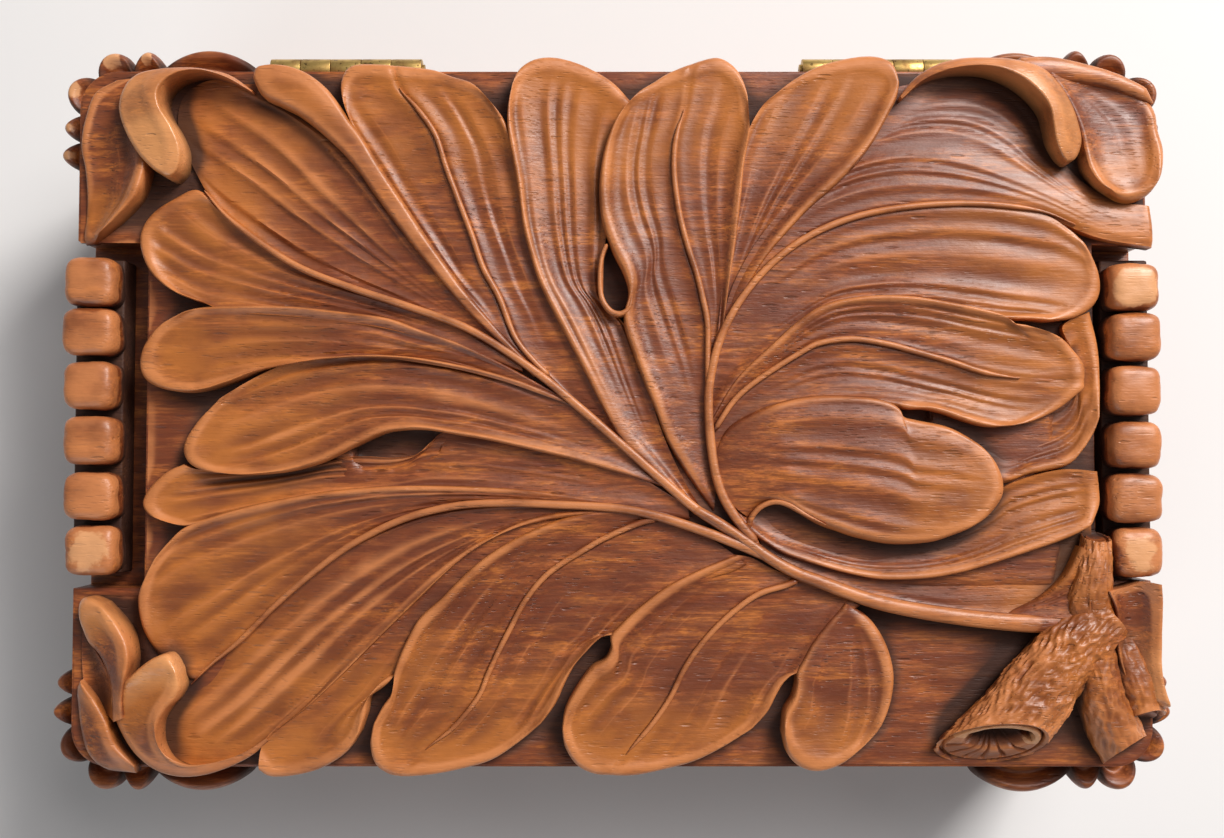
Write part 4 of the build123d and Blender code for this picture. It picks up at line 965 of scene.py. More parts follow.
# Large lobe with a vein, right of the middle
second_front_vein = [
    (29.4, -25.8), (27.2, -26.7), (22.5, -28.3), (17.5, -32.1), (13.7, -36.2), (11.2, -39.9),
    (9.1, -44.1), (6.2, -48.3), (2.8, -52.2), (-0.3, -56.3),
]
lay_lobe(
    leaf_front, spine=second_front_vein,
    side=[
        (19.2, -21.9), (16.1, -23.2), (12.2, -24.9), (8.0, -27.2), (3.6, -30.6), (1.1, -33.0),
        (-0.2, -34.5), (-0.2, -36.4), (-1.2, -38.2), (-3.4, -39.6), (-5.6, -42.6), (-7.3, -45.8),
        (-7.8, -48.8),
    ],
    top=[(-7.3, -51.8), (-5.6, -54.6), (-3.1, -56.0)],
    base=[(25.5, -24.3), (21.9, -22.4)],
    spine_z=(49.3, 49.5, 49.9), side_z=(49.8, 50.4, 50.7, 51.0), flutes=3, depth=0.45, side_roll=0.85,
    plain_tip=7, seed=24.0,
)
lay_lobe(
    leaf_front, spine=second_front_vein,
    side=[
        (39.0, -29.9), (36.2, -32.3), (33.7, -35.4), (31.5, -38.1), (29.9, -39.9), (28.2, -40.7),
        (26.8, -42.0), (25.7, -43.8), (24.3, -46.3), (21.8, -48.9),
    ],
    top=[(17.0, -52.0), (12.9, -54.1), (8.7, -55.3), (3.7, -56.3)],
    base=[(34.1, -27.7)],
    spine_z=(49.3, 49.5, 49.9), side_z=(49.4, 49.6, 50.4), flutes=4, depth=0.42, dish=0.65, plain_tip=7,
    seed=25.0,
)
# Small last lobe by the stem
lay_lobe(
    leaf_front,
    spine=[
        (36.5, -29.5), (33.9, -32.2), (31.5, -35.3), (29.8, -38.2), (28.8, -40.1), (28.7, -42.0),
        (28.2, -44.0), (26.9, -46.3), (26.5, -49.5),
    ],
    side=[
        (37.5, -29.9), (39.8, -31.3), (41.8, -33.7), (43.4, -37.1), (44.1, -40.9), (43.5, -45.0),
        (41.9, -48.6), (39.2, -51.4),
    ],
    top=[(35.8, -54.3), (32.3, -55.5), (29.5, -54.9), (27.4, -52.9)],
    spine_z=(49.9, 50.6, 50.8), side_z=(49.4, 49.8, 50.5), flutes=4, depth=0.42, sharp=0.5, vein=False,
    spine_roll=1.1, dish=0.35, side_roll=0.8, plain_tip=5, seed=26.0,
)
finish_carving(leaf_front, "leaf_lobes_front")


# Carved lid, ribs: the stalk and the leaf's ribs and veins, thin raised cords left standing
# between two tool cuts, thinning towards their ends.


def lay_cord(bm, line, radius, z, rise, rows=110, columns=9, taper=0.12, reach=1.0):
    """A raised cord: radius and z hold the values at its foot and tip, in millimetres."""
    u = np.linspace(0, 1, rows)
    p = smooth_line(line, u * reach)
    along = np.gradient(p, axis=0)
    along = along / np.linalg.norm(along, axis=1)[:, None]
    across = np.stack([-along[:, 1], along[:, 0]], axis=1)
    thin = np.minimum(1, np.minimum(u / 0.02, (1 - u) / taper) + 0.15)
    r = (radius[0] + (radius[1] - radius[0]) * u) * thin
    angle = np.linspace(math.pi, 0, columns)
    x = p[:, 0, None] + across[:, 0, None] * r[:, None] * np.cos(angle)[None]
    y = p[:, 1, None] + across[:, 1, None] * r[:, None] * np.cos(angle)[None]
    lift = z[0] + (z[1] - z[0]) * u
    height = lift[:, None] + rise * thin[:, None] * np.sin(angle)[None] ** 0.7
    place_grid(bm, x, y, height)


ribs = bmesh.new()
lay_cord(
    ribs,
    [
        (24.7, -22.1), (20.8, -19.6), (13.8, -15.2), (7.5, -9.9), (1.3, -4.4), (-5.0, 1.1), (-11.3, 6.3),
        (-17.6, 10.7), (-23.9, 14.2), (-33.4, 17.6), (-41.3, 20.2), (-49.2, 23.3), (-55.5, 27.2),
        (-61.1, 31.6), (-64.6, 35.6),
    ],
    (0.8, 0.45), (49.7, 49.3), 0.7,
)
lay_cord(
    ribs,
    [
        (23.2, -20.8), (19.7, -16.5), (17.1, -11.8), (15.7, -5.5), (15.2, 2.4), (15.9, 7.9), (17.3, 12.6),
        (20.2, 18.1), (24.9, 23.7), (31.2, 28.4), (39.2, 31.6), (48.6, 33.2), (58.1, 33.5), (67.6, 32.4),
        (73.5, 30.2),
    ],
    (0.8, 0.4), (49.7, 49.3), 0.7,
)
lay_cord(
    ribs,
    [
        (25.5, -22.7), (20.0, -20.4), (13.8, -18.0), (7.5, -16.0), (1.3, -14.7), (-8.1, -14.1),
        (-17.5, -13.8), (-25.4, -14.4), (-33.2, -16.5), (-41.0, -20.4), (-47.2, -25.0), (-52.6, -29.7),
        (-58.0, -35.1), (-62.7, -39.0), (-65.8, -42.1),
    ],
    (0.8, 0.4), (49.7, 49.3), 0.7,
)
lay_cord(
    ribs,
    [
        (12.2, -14.3), (16.3, -16.6), (20.8, -19.6), (24.7, -22.4), (28.6, -24.6), (32.5, -26.1),
        (41.9, -29.4), (54.3, -31.6), (66.8, -32.7), (73.8, -32.3),
    ],
    (0.75, 1.5), (49.4, 49.6), 1.15, taper=0.01,
)
for vein, tip_radius, ends_z, reach in (
    (second_vein, 0.42, (49.3, 49.7), 0.93),
    (fourth_vein, 0.45, (49.3, 49.8), 0.86),
    (right_vein, 0.4, (49.5, 50.0), 0.84),
    (first_front_vein, 0.4, (49.3, 49.6), 0.9),
    (second_front_vein, 0.4, (49.3, 49.6), 0.9),
):
    lay_cord(ribs, vein, (0.5, tip_radius), ends_z, 0.6, reach=reach)
# The lip where the rolled lobe's lower edge turns up at its foot
lay_cord(
    ribs,
    [
        (21.3, -18.0), (21.9, -16.0), (23.3, -14.4), (25.4, -13.6), (27.7, -14.1), (30.4, -15.7),
        (33.2, -17.1),
    ],
    (0.5, 0.35), (49.3, 51.5), 0.5, rows=60, taper=0.4,
)
# The raised lip round the eye between the third and fourth lobes
lay_cord(
    ribs,
    [
        (-0.8, 27.0), (-1.6, 24.8), (-1.9, 21.6), (-1.6, 18.4), (-0.3, 16.4), (1.3, 15.9), (2.7, 16.9),
        (3.2, 19.1),
    ],
    (0.3, 0.5), (50.2, 50.7), 0.5, rows=60, taper=0.3,
)
finish_carving(ribs, "leaf_ribs")


# Carved lid, turned tips: at three corners the leaf's tips curl over towards the lid's edge.
# They are the highest carving on the lid, undercut a little and rubbed smooth by hands.

curls = bmesh.new()
# Back left: the outer tip, which hangs over the corner, then the flap turned over above it
lay_lobe(
    curls,
    spine=[
        (-79.2, 53.1), (-82.4, 51.2), (-84.1, 47.0), (-84.9, 42.7), (-84.3, 39.4), (-84.0, 35.6),
        (-84.3, 31.3), (-84.7, 27.5),
    ],
    side=[
        (-70.8, 53.1), (-73.2, 52.2), (-74.8, 50.1), (-75.0, 47.4), (-74.2, 44.0), (-73.4, 40.7),
        (-73.8, 37.3), (-75.0, 34.3), (-78.0, 31.1), (-80.9, 28.7),
    ],
    top=[(-82.7, 27.6)],
    base=[(-75.6, 53.6)],
    spine_z=(50.0, 49.8, 49.4, 48.6, 48.6, 48.0, 47.6), side_z=(50.8, 50.6, 50.6, 51.2, 51.9, 51.8, 51.0),
    flutes=2, depth=0.35, dish=0.9, side_roll=1.3, spine_roll=1.3, top_roll=1.2, vein=False, seed=30.0,
)
lay_lobe(
    curls,
    spine=[
        (-57.0, 51.5), (-60.5, 53.8), (-64.5, 54.6), (-67.7, 54.7), (-71.6, 54.4), (-74.8, 53.6),
        (-76.8, 51.5), (-77.6, 48.3), (-76.6, 44.7), (-74.5, 41.1), (-72.1, 38.6), (-69.8, 37.2),
    ],
    side=[
        (-57.0, 51.2), (-60.5, 53.0), (-64.0, 53.9), (-67.2, 53.6), (-69.7, 52.2), (-70.8, 50.1),
        (-70.3, 47.7), (-68.7, 45.1), (-67.5, 42.3), (-67.4, 40.0), (-68.0, 38.3), (-69.1, 37.2),
    ],
    spine_z=(49.8, 50.8, 51.6, 52.0, 52.0, 52.0, 52.0, 52.0, 52.2),
    side_z=(50.2, 51.8, 52.8, 53.4, 53.7, 53.7, 53.4, 52.8, 52.4), dish=-0.5, side_roll=0.4,
    spine_roll=0.9, top_roll=0.8, polish_and_highlight=1.0, seed=31.0, **ROLLED,
)
# Back right: the crescent flap, and the round corner tip beside it with the ridge above
lay_lobe(
    curls,
    spine=[
        (45.5, 50.4), (47.7, 53.1), (50.9, 55.2), (54.7, 56.2), (59.5, 56.3), (63.6, 56.0), (67.8, 54.7),
        (70.5, 52.2), (72.5, 49.1), (73.7, 45.9), (74.2, 43.2), (73.4, 40.8), (72.1, 39.7),
    ],
    side=[
        (45.8, 49.9), (48.8, 52.5), (52.5, 54.0), (56.3, 54.5), (59.9, 54.2), (63.5, 52.8), (66.2, 50.7),
        (68.1, 48.3), (68.8, 45.6), (69.3, 43.1), (70.4, 40.8), (71.5, 39.7),
    ],
    spine_z=(50.6, 51.0, 51.4, 51.8, 52.0, 52.0, 51.8, 51.4, 51.0, 51.0),
    side_z=(50.8, 51.8, 52.8, 53.3, 53.6, 53.6, 53.5, 53.2, 52.6, 51.6), dish=-0.5, side_roll=0.5,
    spine_roll=1.0, top_roll=0.8, polish_and_highlight=0.5, seed=32.0, **ROLLED,
)
lay_lobe(
    curls,
    spine=[
        (68.8, 53.8), (71.0, 51.2), (72.8, 48.0), (73.9, 44.8), (74.5, 41.6), (75.2, 38.8), (76.8, 36.4),
        (78.7, 34.9),
    ],
    side=[
        (71.3, 55.0), (76.9, 54.2), (81.0, 53.1), (83.6, 52.0), (85.7, 50.4), (86.8, 48.3), (87.0, 45.6),
        (87.5, 42.4), (87.1, 39.1), (86.1, 36.5),
    ],
    top=[(84.5, 34.6), (82.1, 33.7), (80.2, 34.0)],
    spine_z=(51.2, 51.0, 50.8, 50.8, 51.2, 51.8), side_z=(50.2, 49.4, 49.0, 48.8, 49.4, 50.4, 51.4),
    flutes=3, depth=0.25, dish=1.1, side_roll=1.6, spine_roll=1.0, top_roll=1.8, rim=0.3, vein=False,
    plain_tip=12.0, seed=33.0,
)
lay_cord(
    curls,
    [(64.3, 54.4), (69.4, 54.9), (74.8, 54.2), (79.5, 53.1), (83.6, 51.5), (86.3, 49.8)],
    (2.3, 1.0), (49.6, 48.4), 1.6, rows=70, columns=15,
)
# Front left: two turned tips that meet in one thick roll, which runs on as the leaf's edge
lay_lobe(
    curls,
    spine=[
        (-77.7, -47.8), (-78.0, -44.4), (-78.7, -41.0), (-80.2, -37.9), (-82.1, -35.8), (-83.2, -33.3),
        (-83.7, -30.8),
    ],
    side=[
        (-75.4, -46.9), (-75.6, -44.0), (-75.0, -40.7), (-74.4, -37.9), (-74.9, -35.1), (-76.7, -32.2),
        (-79.3, -29.4),
    ],
    top=[(-81.5, -28.5), (-83.1, -28.9)],
    spine_z=(50.6, 50.4, 50.2, 49.8, 49.6, 49.4), side_z=(51.6, 52.6, 53.1, 53.0, 52.6, 52.0, 51.4),
    dish=-0.9, side_roll=0.7, spine_roll=1.3, top_roll=1.3, polish_and_highlight=0.5, polish_and_highlight_from=0.6, seed=34.0,
    **ROLLED,
)
lay_lobe(
    curls,
    spine=[
        (-53.5, -50.9), (-56.3, -53.2), (-60.2, -55.1), (-64.1, -56.2), (-67.9, -56.3), (-71.1, -55.4),
        (-73.9, -53.4), (-75.9, -50.8), (-77.5, -47.5), (-78.2, -44.7), (-77.9, -42.6), (-76.8, -41.0),
    ],
    side=[
        (-53.8, -50.3), (-56.6, -52.2), (-59.4, -53.5), (-62.5, -54.5), (-65.6, -54.8), (-68.0, -53.9),
        (-69.4, -52.2), (-70.0, -50.3), (-69.9, -47.8), (-68.8, -45.7), (-67.3, -44.0), (-66.4, -42.0),
        (-66.7, -39.5),
    ],
    top=[(-67.7, -37.8), (-68.8, -37.0), (-70.8, -37.6), (-72.8, -38.9), (-75.0, -40.7)],
    spine_z=(49.8, 50.0, 50.2, 50.4, 50.4, 50.4, 50.5, 50.7, 51.0),
    side_z=(50.2, 50.6, 51.0, 51.6, 52.1, 52.6, 53.0, 53.2, 53.2), dish=-0.7, side_roll=0.9,
    spine_roll=1.4, top_roll=1.0, polish_and_highlight=1.0, polish_and_highlight_from=0.8, rows=130, seed=36.0, **ROLLED,
)
lay_lobe(
    curls,
    spine=[
        (-74.9, -56.3), (-79.6, -55.9), (-82.6, -53.5), (-83.9, -49.5), (-84.4, -45.2), (-84.3, -42.3),
    ],
    side=[(-74.6, -54.9), (-77.5, -51.4), (-78.8, -47.8), (-80.7, -44.7), (-82.0, -43.2), (-83.4, -41.6)],
    spine_z=(47.8, 47.8, 47.8, 47.8, 47.8), side_z=(49.6, 49.8, 50.0, 50.0, 49.6), dish=-0.9,
    side_roll=0.7, spine_roll=1.2, top_roll=1.0, seed=37.0, **ROLLED,
)
lay_lobe(
    curls,
    spine=[(-83.7, -33.3), (-83.8, -36.7), (-83.5, -41.3), (-82.6, -45.2)],
    side=[(-81.8, -35.6), (-80.0, -37.9), (-78.6, -40.7), (-77.7, -44.4), (-77.5, -47.8)],
    spine_z=(47.4, 47.4, 47.6), side_z=(49.6, 49.8, 50.2), dish=0.5, side_roll=0.0, top_roll=0.0,
    seed=38.0, **ROLLED,
)
finish_carving(curls, "turned_tips")


# Carved lid, branch: a short sawn branch with a hollow end, covered in wrinkled bark, from
# which the leaf's stalk, an upper shoot and two stubs grow. Cut in the same board.


BARK_ROUND = 2.2
BARK_ALONG = 0.16


def bark_relief(place, angle, along, size):
    """Wrinkles of bark, in millimetres: long ridges with cross cracks."""
    around = (math.cos(angle) * BARK_ROUND * size, math.sin(angle) * BARK_ROUND * size)
    seeded = Vector((*around, along * BARK_ALONG)) + place
    broad = noise.noise(seeded * 0.9)
    ridges = abs(noise.noise(Vector((seeded.x * 2.2, seeded.y * 2.2, seeded.z * 3.0))))
    fine = noise.noise(seeded * 4.5)
    return 0.5 * broad - 0.75 * ridges + 0.16 * fine


# Shares of the stump's radius at which its sawn end is modelled, within the cut bark
HEART_SHARES = (
    0.78, 0.74, 0.7, 0.65, 0.6, 0.55, 0.5, 0.45, 0.4, 0.34, 0.28, 0.21, 0.14, 0.07, 0.0,
)
CHECKS = (-2.75, -2.2, -1.75, -1.35, -0.85, -0.3)
CHECK_WIDTH = 0.055
CHECK_DEPTH = 0.6
# The rotten heart on the sawn end, in shares of its radius: half its width and height, how
# far above the middle it lies, and how softly its lip falls off above and below
HEART_SPREAD = (0.62, 0.5)
HEART_UP = 0.2
LIP_ABOVE = 0.16
LIP_BELOW = 0.62
# Within these shares of the radius the sawn end has left its bark and may rot
WITHIN_BARK = 0.86
MAY_ROT = 0.81
MAY_CHECK = 0.8


def grow_shoot(
    centres, radii, sawn_at, facing, sawn_steps, bark, around=96, along=90, place=(0.0, 0.0, 0.0), hole=0.0
):
    """A round shoot covered in bark, sawn off at a slanting plane. centres are (x, y, z) and
    radii are (across, up), in millimetres; sawn_steps are (share of the radius, depth) over
    the sawn end, from its rim to its middle; hole is how deep the rotten heart goes."""
    bm = bmesh.new()
    for mark in ("bed", "ridge", "tip", "worn"):
        bm.verts.layers.float.new(mark)
    bed_mark, ridge_mark, tip_mark, worn_mark = bm.verts.layers.float.values()
    rows = along + len(sawn_steps)
    line = smooth_line(centres, np.linspace(0, 1, 200))
    spread = smooth_line(radii, np.linspace(0, 1, 200))
    whole = length_of(line)
    normal = np.array(facing) / np.linalg.norm(facing)

    def wall(share, angle, relief):
        at = min(max(share, 0.0), 1.0) * 198.999
        k = int(at)
        centre = line[k] + (line[k + 1] - line[k]) * (at - k)
        tangent = line[k + 1] - line[k]
        across = np.array([-tangent[1], tangent[0], 0.0])
        across = across / np.linalg.norm(across)
        wide = (spread[k][0] + relief) * math.cos(angle)
        high = (spread[k][1] + relief) * math.sin(angle)
        return centre + across * wide + np.array([0.0, 0.0, high])

    def end_share(angle):
        low, high = 0.0, 1.0
        for _ in range(22):
            half = (low + high) / 2
            if np.dot(wall(half, angle, 0.0) - sawn_at, normal) > 0:
                high = half
            else:
                low = half
        return low

    ends = [end_share(2 * math.pi * j / around) for j in range(around)]
    rims = [wall(ends[j], 2 * math.pi * j / around, 0.0) for j in range(around)]
    heart = sum(rims) / around
    bmesh.ops.create_grid(bm, x_segments=rows - 1, y_segments=around, size=1.0)
    for vert in bm.verts:
        i = round((vert.co.x + 1) / 2 * (rows - 1))
        j = round((vert.co.y + 1) / 2 * around) % around
        angle = 2 * math.pi * j / around
        if i < along:
            share = ends[j] * i / (along - 1)
            relief = bark * bark_relief(Vector(place), angle, share * whole, radii[0][0] / 4)
            point = wall(share, angle, relief)
            # Crevices of the bark get painted shade, its ridges a painted highlight
            vert[bed_mark] = min(max(-1.2 * relief / bark - 0.05, 0.0), 1.0)
            vert[ridge_mark] = min(max(1.6 * relief / bark + 0.15, 0.0), 1.0)
            vert[tip_mark] = 0.7
        else:
            factor, depth = sawn_steps[i - along]
            over, above = factor * math.cos(angle), factor * math.sin(angle)
            reach = math.hypot(over / HEART_SPREAD[0], (above - HEART_UP) / HEART_SPREAD[1])
            edge = LIP_ABOVE if above > HEART_UP else LIP_BELOW
            inside = float(smoothstep(np.array((1.08 - reach) / edge)))
            depth = depth + hole * inside * (factor < MAY_ROT)
            for crack in CHECKS:
                line_off = (angle - 2 * math.pi if angle > math.pi else angle) - crack
                if hole and factor < MAY_CHECK:
                    depth = depth + CHECK_DEPTH * math.exp(-((line_off / CHECK_WIDTH) ** 2)) * (1 - inside)
            if hole:
                dry = (factor < WITHIN_BARK) * (1 - inside)
                vert[worn_mark] = 0.7 * dry * (0.45 + 0.55 * (above > 0.1))
                vert[ridge_mark] = 0.6 * dry
            point = heart + (rims[j] - heart) * factor - normal * depth
            check = 0.12 * noise.noise(Vector((angle * 1.5, factor * 4, place[0])))
            point = point + normal * check * (factor > 0.05)
            # The sawn end is painted in shade as deep as it is cut
            vert[bed_mark] = min(max(depth / 1.6, 0.0), 1.0)
        vert.co = point * MM
    bmesh.ops.remove_doubles(bm, verts=bm.verts, dist=0.001 * MM)
    bmesh.ops.holes_fill(bm, edges=[e for e in bm.edges if e.is_boundary], sides=0)
    return bm


stump = grow_shoot(
    [
        (77.5, -30.8, 48.2), (70.8, -37.5, 49.4), (63.5, -46.3, 50.2), (57.2, -53.7, 50.6),
        (52.5, -59.1, 50.6),
    ],
    [(4.8, 4.0), (5.9, 4.2), (6.6, 4.3), (7.0, 4.3), (7.0, 4.3)],
    np.array((59.6, -50.9, 50.6)),
    (-0.05, -0.71, 0.7),
    [
        (0.98, 0.05), (0.94, 0.1), (0.915, 0.3), (0.9, 1.5), (0.875, 1.6), (0.85, 0.4), (0.82, 0.1),
        *[(share, 0.1) for share in HEART_SHARES],
    ],
    bark=0.85, around=150, along=130, hole=3.4,
)
finish_carving(stump, "branch_stump", SMOOTHER)

SAWN_FLAT = [(0.96, 0.05), (0.86, 0.15), (0.8, 0.6), (0.72, 0.7), (0.66, 0.25), (0.4, 0.45), (0.0, 0.6)]
for name, centres, radii, sawn_at, facing, place in (
    (
        "upper_shoot",
        [
            (76.4, -35.9, 47.6), (74.7, -30.2, 48.8), (75.0, -25.8, 49.4), (75.7, -21.9, 49.4),
            (76.1, -17.7, 49.2),
        ],
        [(5.0, 4.2), (4.3, 3.4), (2.9, 2.6), (2.3, 2.1), (2.1, 1.9)],
        (75.9, -19.3, 50.0), (0.1, 1.0, 0.35), (11.0, 3.0, 5.0),
    ),
    (
        "lower_stub",
        [
            (75.9, -33.6, 47.4), (75.8, -39.5, 48.2), (76.8, -44.7, 48.4), (78.9, -49.4, 48.0),
            (81.5, -54.0, 47.4),
        ],
        [(3.4, 3.6), (3.6, 3.8), (4.0, 4.0), (4.2, 4.0), (4.0, 3.8)],
        (80.1, -52.3, 49.2), (0.5, -0.8, 0.4), (2.0, 9.0, 1.0),
    ),
    (
        "side_stub",
        [
            (79.9, -35.1, 46.8), (81.1, -39.5, 47.6), (82.4, -43.5, 48.0), (83.3, -47.8, 47.6),
            (83.7, -52.2, 47.0),
        ],
        [(2.8, 2.8), (3.3, 3.1), (3.9, 3.4), (3.9, 3.4), (3.6, 3.2)],
        (83.6, -46.9, 49.6), (0.2, -0.8, 0.5), (5.0, 1.0, 7.0),
    ),
):
    shoot = grow_shoot(centres, radii, np.array(sawn_at), facing, SAWN_FLAT, bark=0.5, place=place)
    finish_carving(shoot, name, SMOOTHER)

webs = bmesh.new()
# The dished web of bark between the shoots and the lid's right edge
lay_lobe(
    webs,
    spine=[(76.9, -27.4), (78.1, -29.9), (78.7, -33.0), (78.8, -36.4), (79.8, -40.4), (82.0, -44.0)],
    side=[(85.3, -26.4), (85.7, -29.7), (85.7, -35.1), (85.6, -39.8), (86.0, -42.9), (86.8, -45.5)],
    top=[(85.4, -45.4), (83.7, -44.7)],
    base=[(80.0, -26.9), (82.8, -26.1)],
    spine_z=(52.2, 51.6, 51.0, 50.6, 50.6, 51.4), side_z=(52.2, 51.4, 51.0, 51.0, 51.4, 51.8), flutes=2,
    depth=0.2, dish=1.9, side_roll=0.8, spine_roll=0.4, top_roll=1.2, rim=0.3, vein=False, polish_and_highlight=0.6,
    seed=40.0,
)
# The web between the stalk and the upper shoot
lay_lobe(
    webs,
    spine=[(61.8, -31.4), (66.8, -31.6), (71.5, -31.6), (76.2, -30.8)],
    side=[(64.0, -30.0), (67.8, -28.0), (71.0, -24.9), (73.2, -20.5)],
    top=[(75.1, -22.7), (76.1, -27.4)],
    spine_z=(49.2, 50.6, 51.8), side_z=(47.8, 49.2, 50.6, 51.0), flutes=3, depth=0.35, dish=0.5,
    side_roll=1.2, top_roll=0.0, rim=0.0, vein=False, seed=41.0,
)
finish_carving(webs, "branch_webs")


# Bead rails: a strip along each end wall with six beads cut from it, each a knife-rounded
# block. They stand in the lid's notches, glued to the end walls.

BEAD_MIDDLE_Z = 47.3
BEAD_HALF = (4.15, 3.85, 3.5)
BEAD_ROUNDNESS = 4.2
STRIP_TOP = 45.2
STRIP_SLACK = 0.6
STRIP_ROUNDING = 0.4
# How far each bead's face has lost its wax, from the back
BEAD_WEAR = {"left": (0.35, 0.1, 0.2, 0.1, 0.3, 0.9), "right": (1.0, 0.2, 0.45, 0.3, 0.25, 0.8)}


def round_bead(bm, centre, half, seed, worn):
    """One bead: a block rounded by knife, never quite like the next."""
    bead = bmesh.new()
    worn_mark = bead.verts.layers.float.new("worn")
    bmesh.ops.create_cube(bead, size=2.0)
    bmesh.ops.subdivide_edges(bead, edges=bead.edges[:], cuts=15, use_grid_fill=True)
    for vert in bead.verts:
        p = vert.co.copy()
        ball = p.normalized()
        block = max(abs(p.x), abs(p.y), abs(p.z))
        power = sum(abs(c) ** BEAD_ROUNDNESS for c in ball) ** (-1 / BEAD_ROUNDNESS)
        p = ball * power * block
        dent = noise.noise(Vector((ball.x * 1.6 + seed, ball.y * 1.6, ball.z * 1.6)))
        small = noise.noise(Vector((ball.x * 5 + seed, ball.y * 5, ball.z * 5)))
        p = p * (1 + 0.05 * dent + 0.015 * small)
        vert.co = Vector([(centre[k] + p[k] * half[k]) * MM for k in range(3)])
        vert[worn_mark] = worn * max(ball.z - 0.35, 0.0) / 0.65
    bead_mesh = bpy.data.meshes.new("bead")
    bead.to_mesh(bead_mesh)
    bead.free()
    bm.from_mesh(bead_mesh)
    bpy.data.meshes.remove(bead_mesh)


for side, bead_centres in (
    ("left", [
        (-82.5, 21.1), (-82.5, 13.2), (-82.4, 4.7), (-82.2, -4.0), (-82.1, -12.8), (-81.8, -21.3),
    ]),
    ("right", [(82.4, 20.3), (82.5, 12.4), (82.4, 3.9), (82.4, -4.7), (82.3, -13.1), (82.5, -21.6)]),
):
    node = side + "_bead_rail"
    low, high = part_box(node)
    rail = bmesh.new()
    rail.verts.layers.float.new("worn")
    strip = bmesh.ops.create_cube(rail, size=1.0)["verts"]
    middle = (low + high) / 2
    for vert in strip:
        vert.co.x = middle.x + vert.co.x * (high.x - low.x - STRIP_SLACK * MM)
        vert.co.y = middle.y + vert.co.y * (high.y - low.y)
        vert.co.z = low.z if vert.co.z < 0 else STRIP_TOP * MM
    bmesh.ops.bevel(
        rail, geom=rail.edges[:], affect="EDGES", offset=STRIP_ROUNDING * MM, segments=3, profile=0.5,
        material=-1,
    )
    for index, (x, y) in enumerate(bead_centres):
        half = (
            BEAD_HALF[0] + 0.12 * math.sin(3.7 * index + len(side)),
            BEAD_HALF[1] + 0.1 * math.sin(2.3 * index + 2 * len(side)),
            BEAD_HALF[2],
        )
        round_bead(rail, (x, y, BEAD_MIDDLE_Z), half, 3.1 * index + len(side), BEAD_WEAR[side][index])
    rail_piece = finish_piece(rail, side + "_carved_beads", "box", walnut, SMOOTHER)
    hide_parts(node)


# Corner leaves: a fluted leaf folded round each corner of the box, its foot curled out and its
# lobed tips curled over the rim, glued to the walls. One shape, mirrored for the four corners.

LEAF_START_LONG = 59.0
LEAF_END_SHORT = 41.0
LEAF_TOP = 41.4
SECTION_HEIGHT = 41.5
HALF_LENGTH = 85.6
HALF_WIDTH = 55.5
WALL_RADIUS = 5.0
LEAF_SECTION = [
    (-0.3, 0.0), (4.2, 0.0), (5.2, 1.0), (5.6, 3.2), (4.9, 6.6), (3.2, 11.6), (2.5, 19.6), (3.0, 26.5),
    (4.3, 32.6), (5.4, 37.6), (5.3, 40.2), (4.5, 41.3), (3.3, 40.6), (2.3, 39.6), (-0.3, 39.4),
    (-0.3, 20.0),
]
# Where its lobes part, as shares of the way from its edge on the long side to that on the end
LOBE_PARTS = [0.0, 0.4, 0.53, 0.645, 0.76, 0.88, 1.0]


def round_corner(run, out):
    """A point on the wall's outline, pushed out from it: run starts on the long side."""
    straight_long = HALF_LENGTH - WALL_RADIUS - LEAF_START_LONG
    quarter = WALL_RADIUS * math.pi / 2
    if run < straight_long:
        return LEAF_START_LONG + run, HALF_WIDTH + out
    if run < straight_long + quarter:
        angle = math.pi / 2 - (run - straight_long) / WALL_RADIUS
        reach = WALL_RADIUS + out
        return (
            HALF_LENGTH - WALL_RADIUS + reach * math.cos(angle),
            HALF_WIDTH - WALL_RADIUS + reach * math.sin(angle),
        )
    return HALF_LENGTH + out, HALF_WIDTH - WALL_RADIUS - (run - straight_long - quarter)


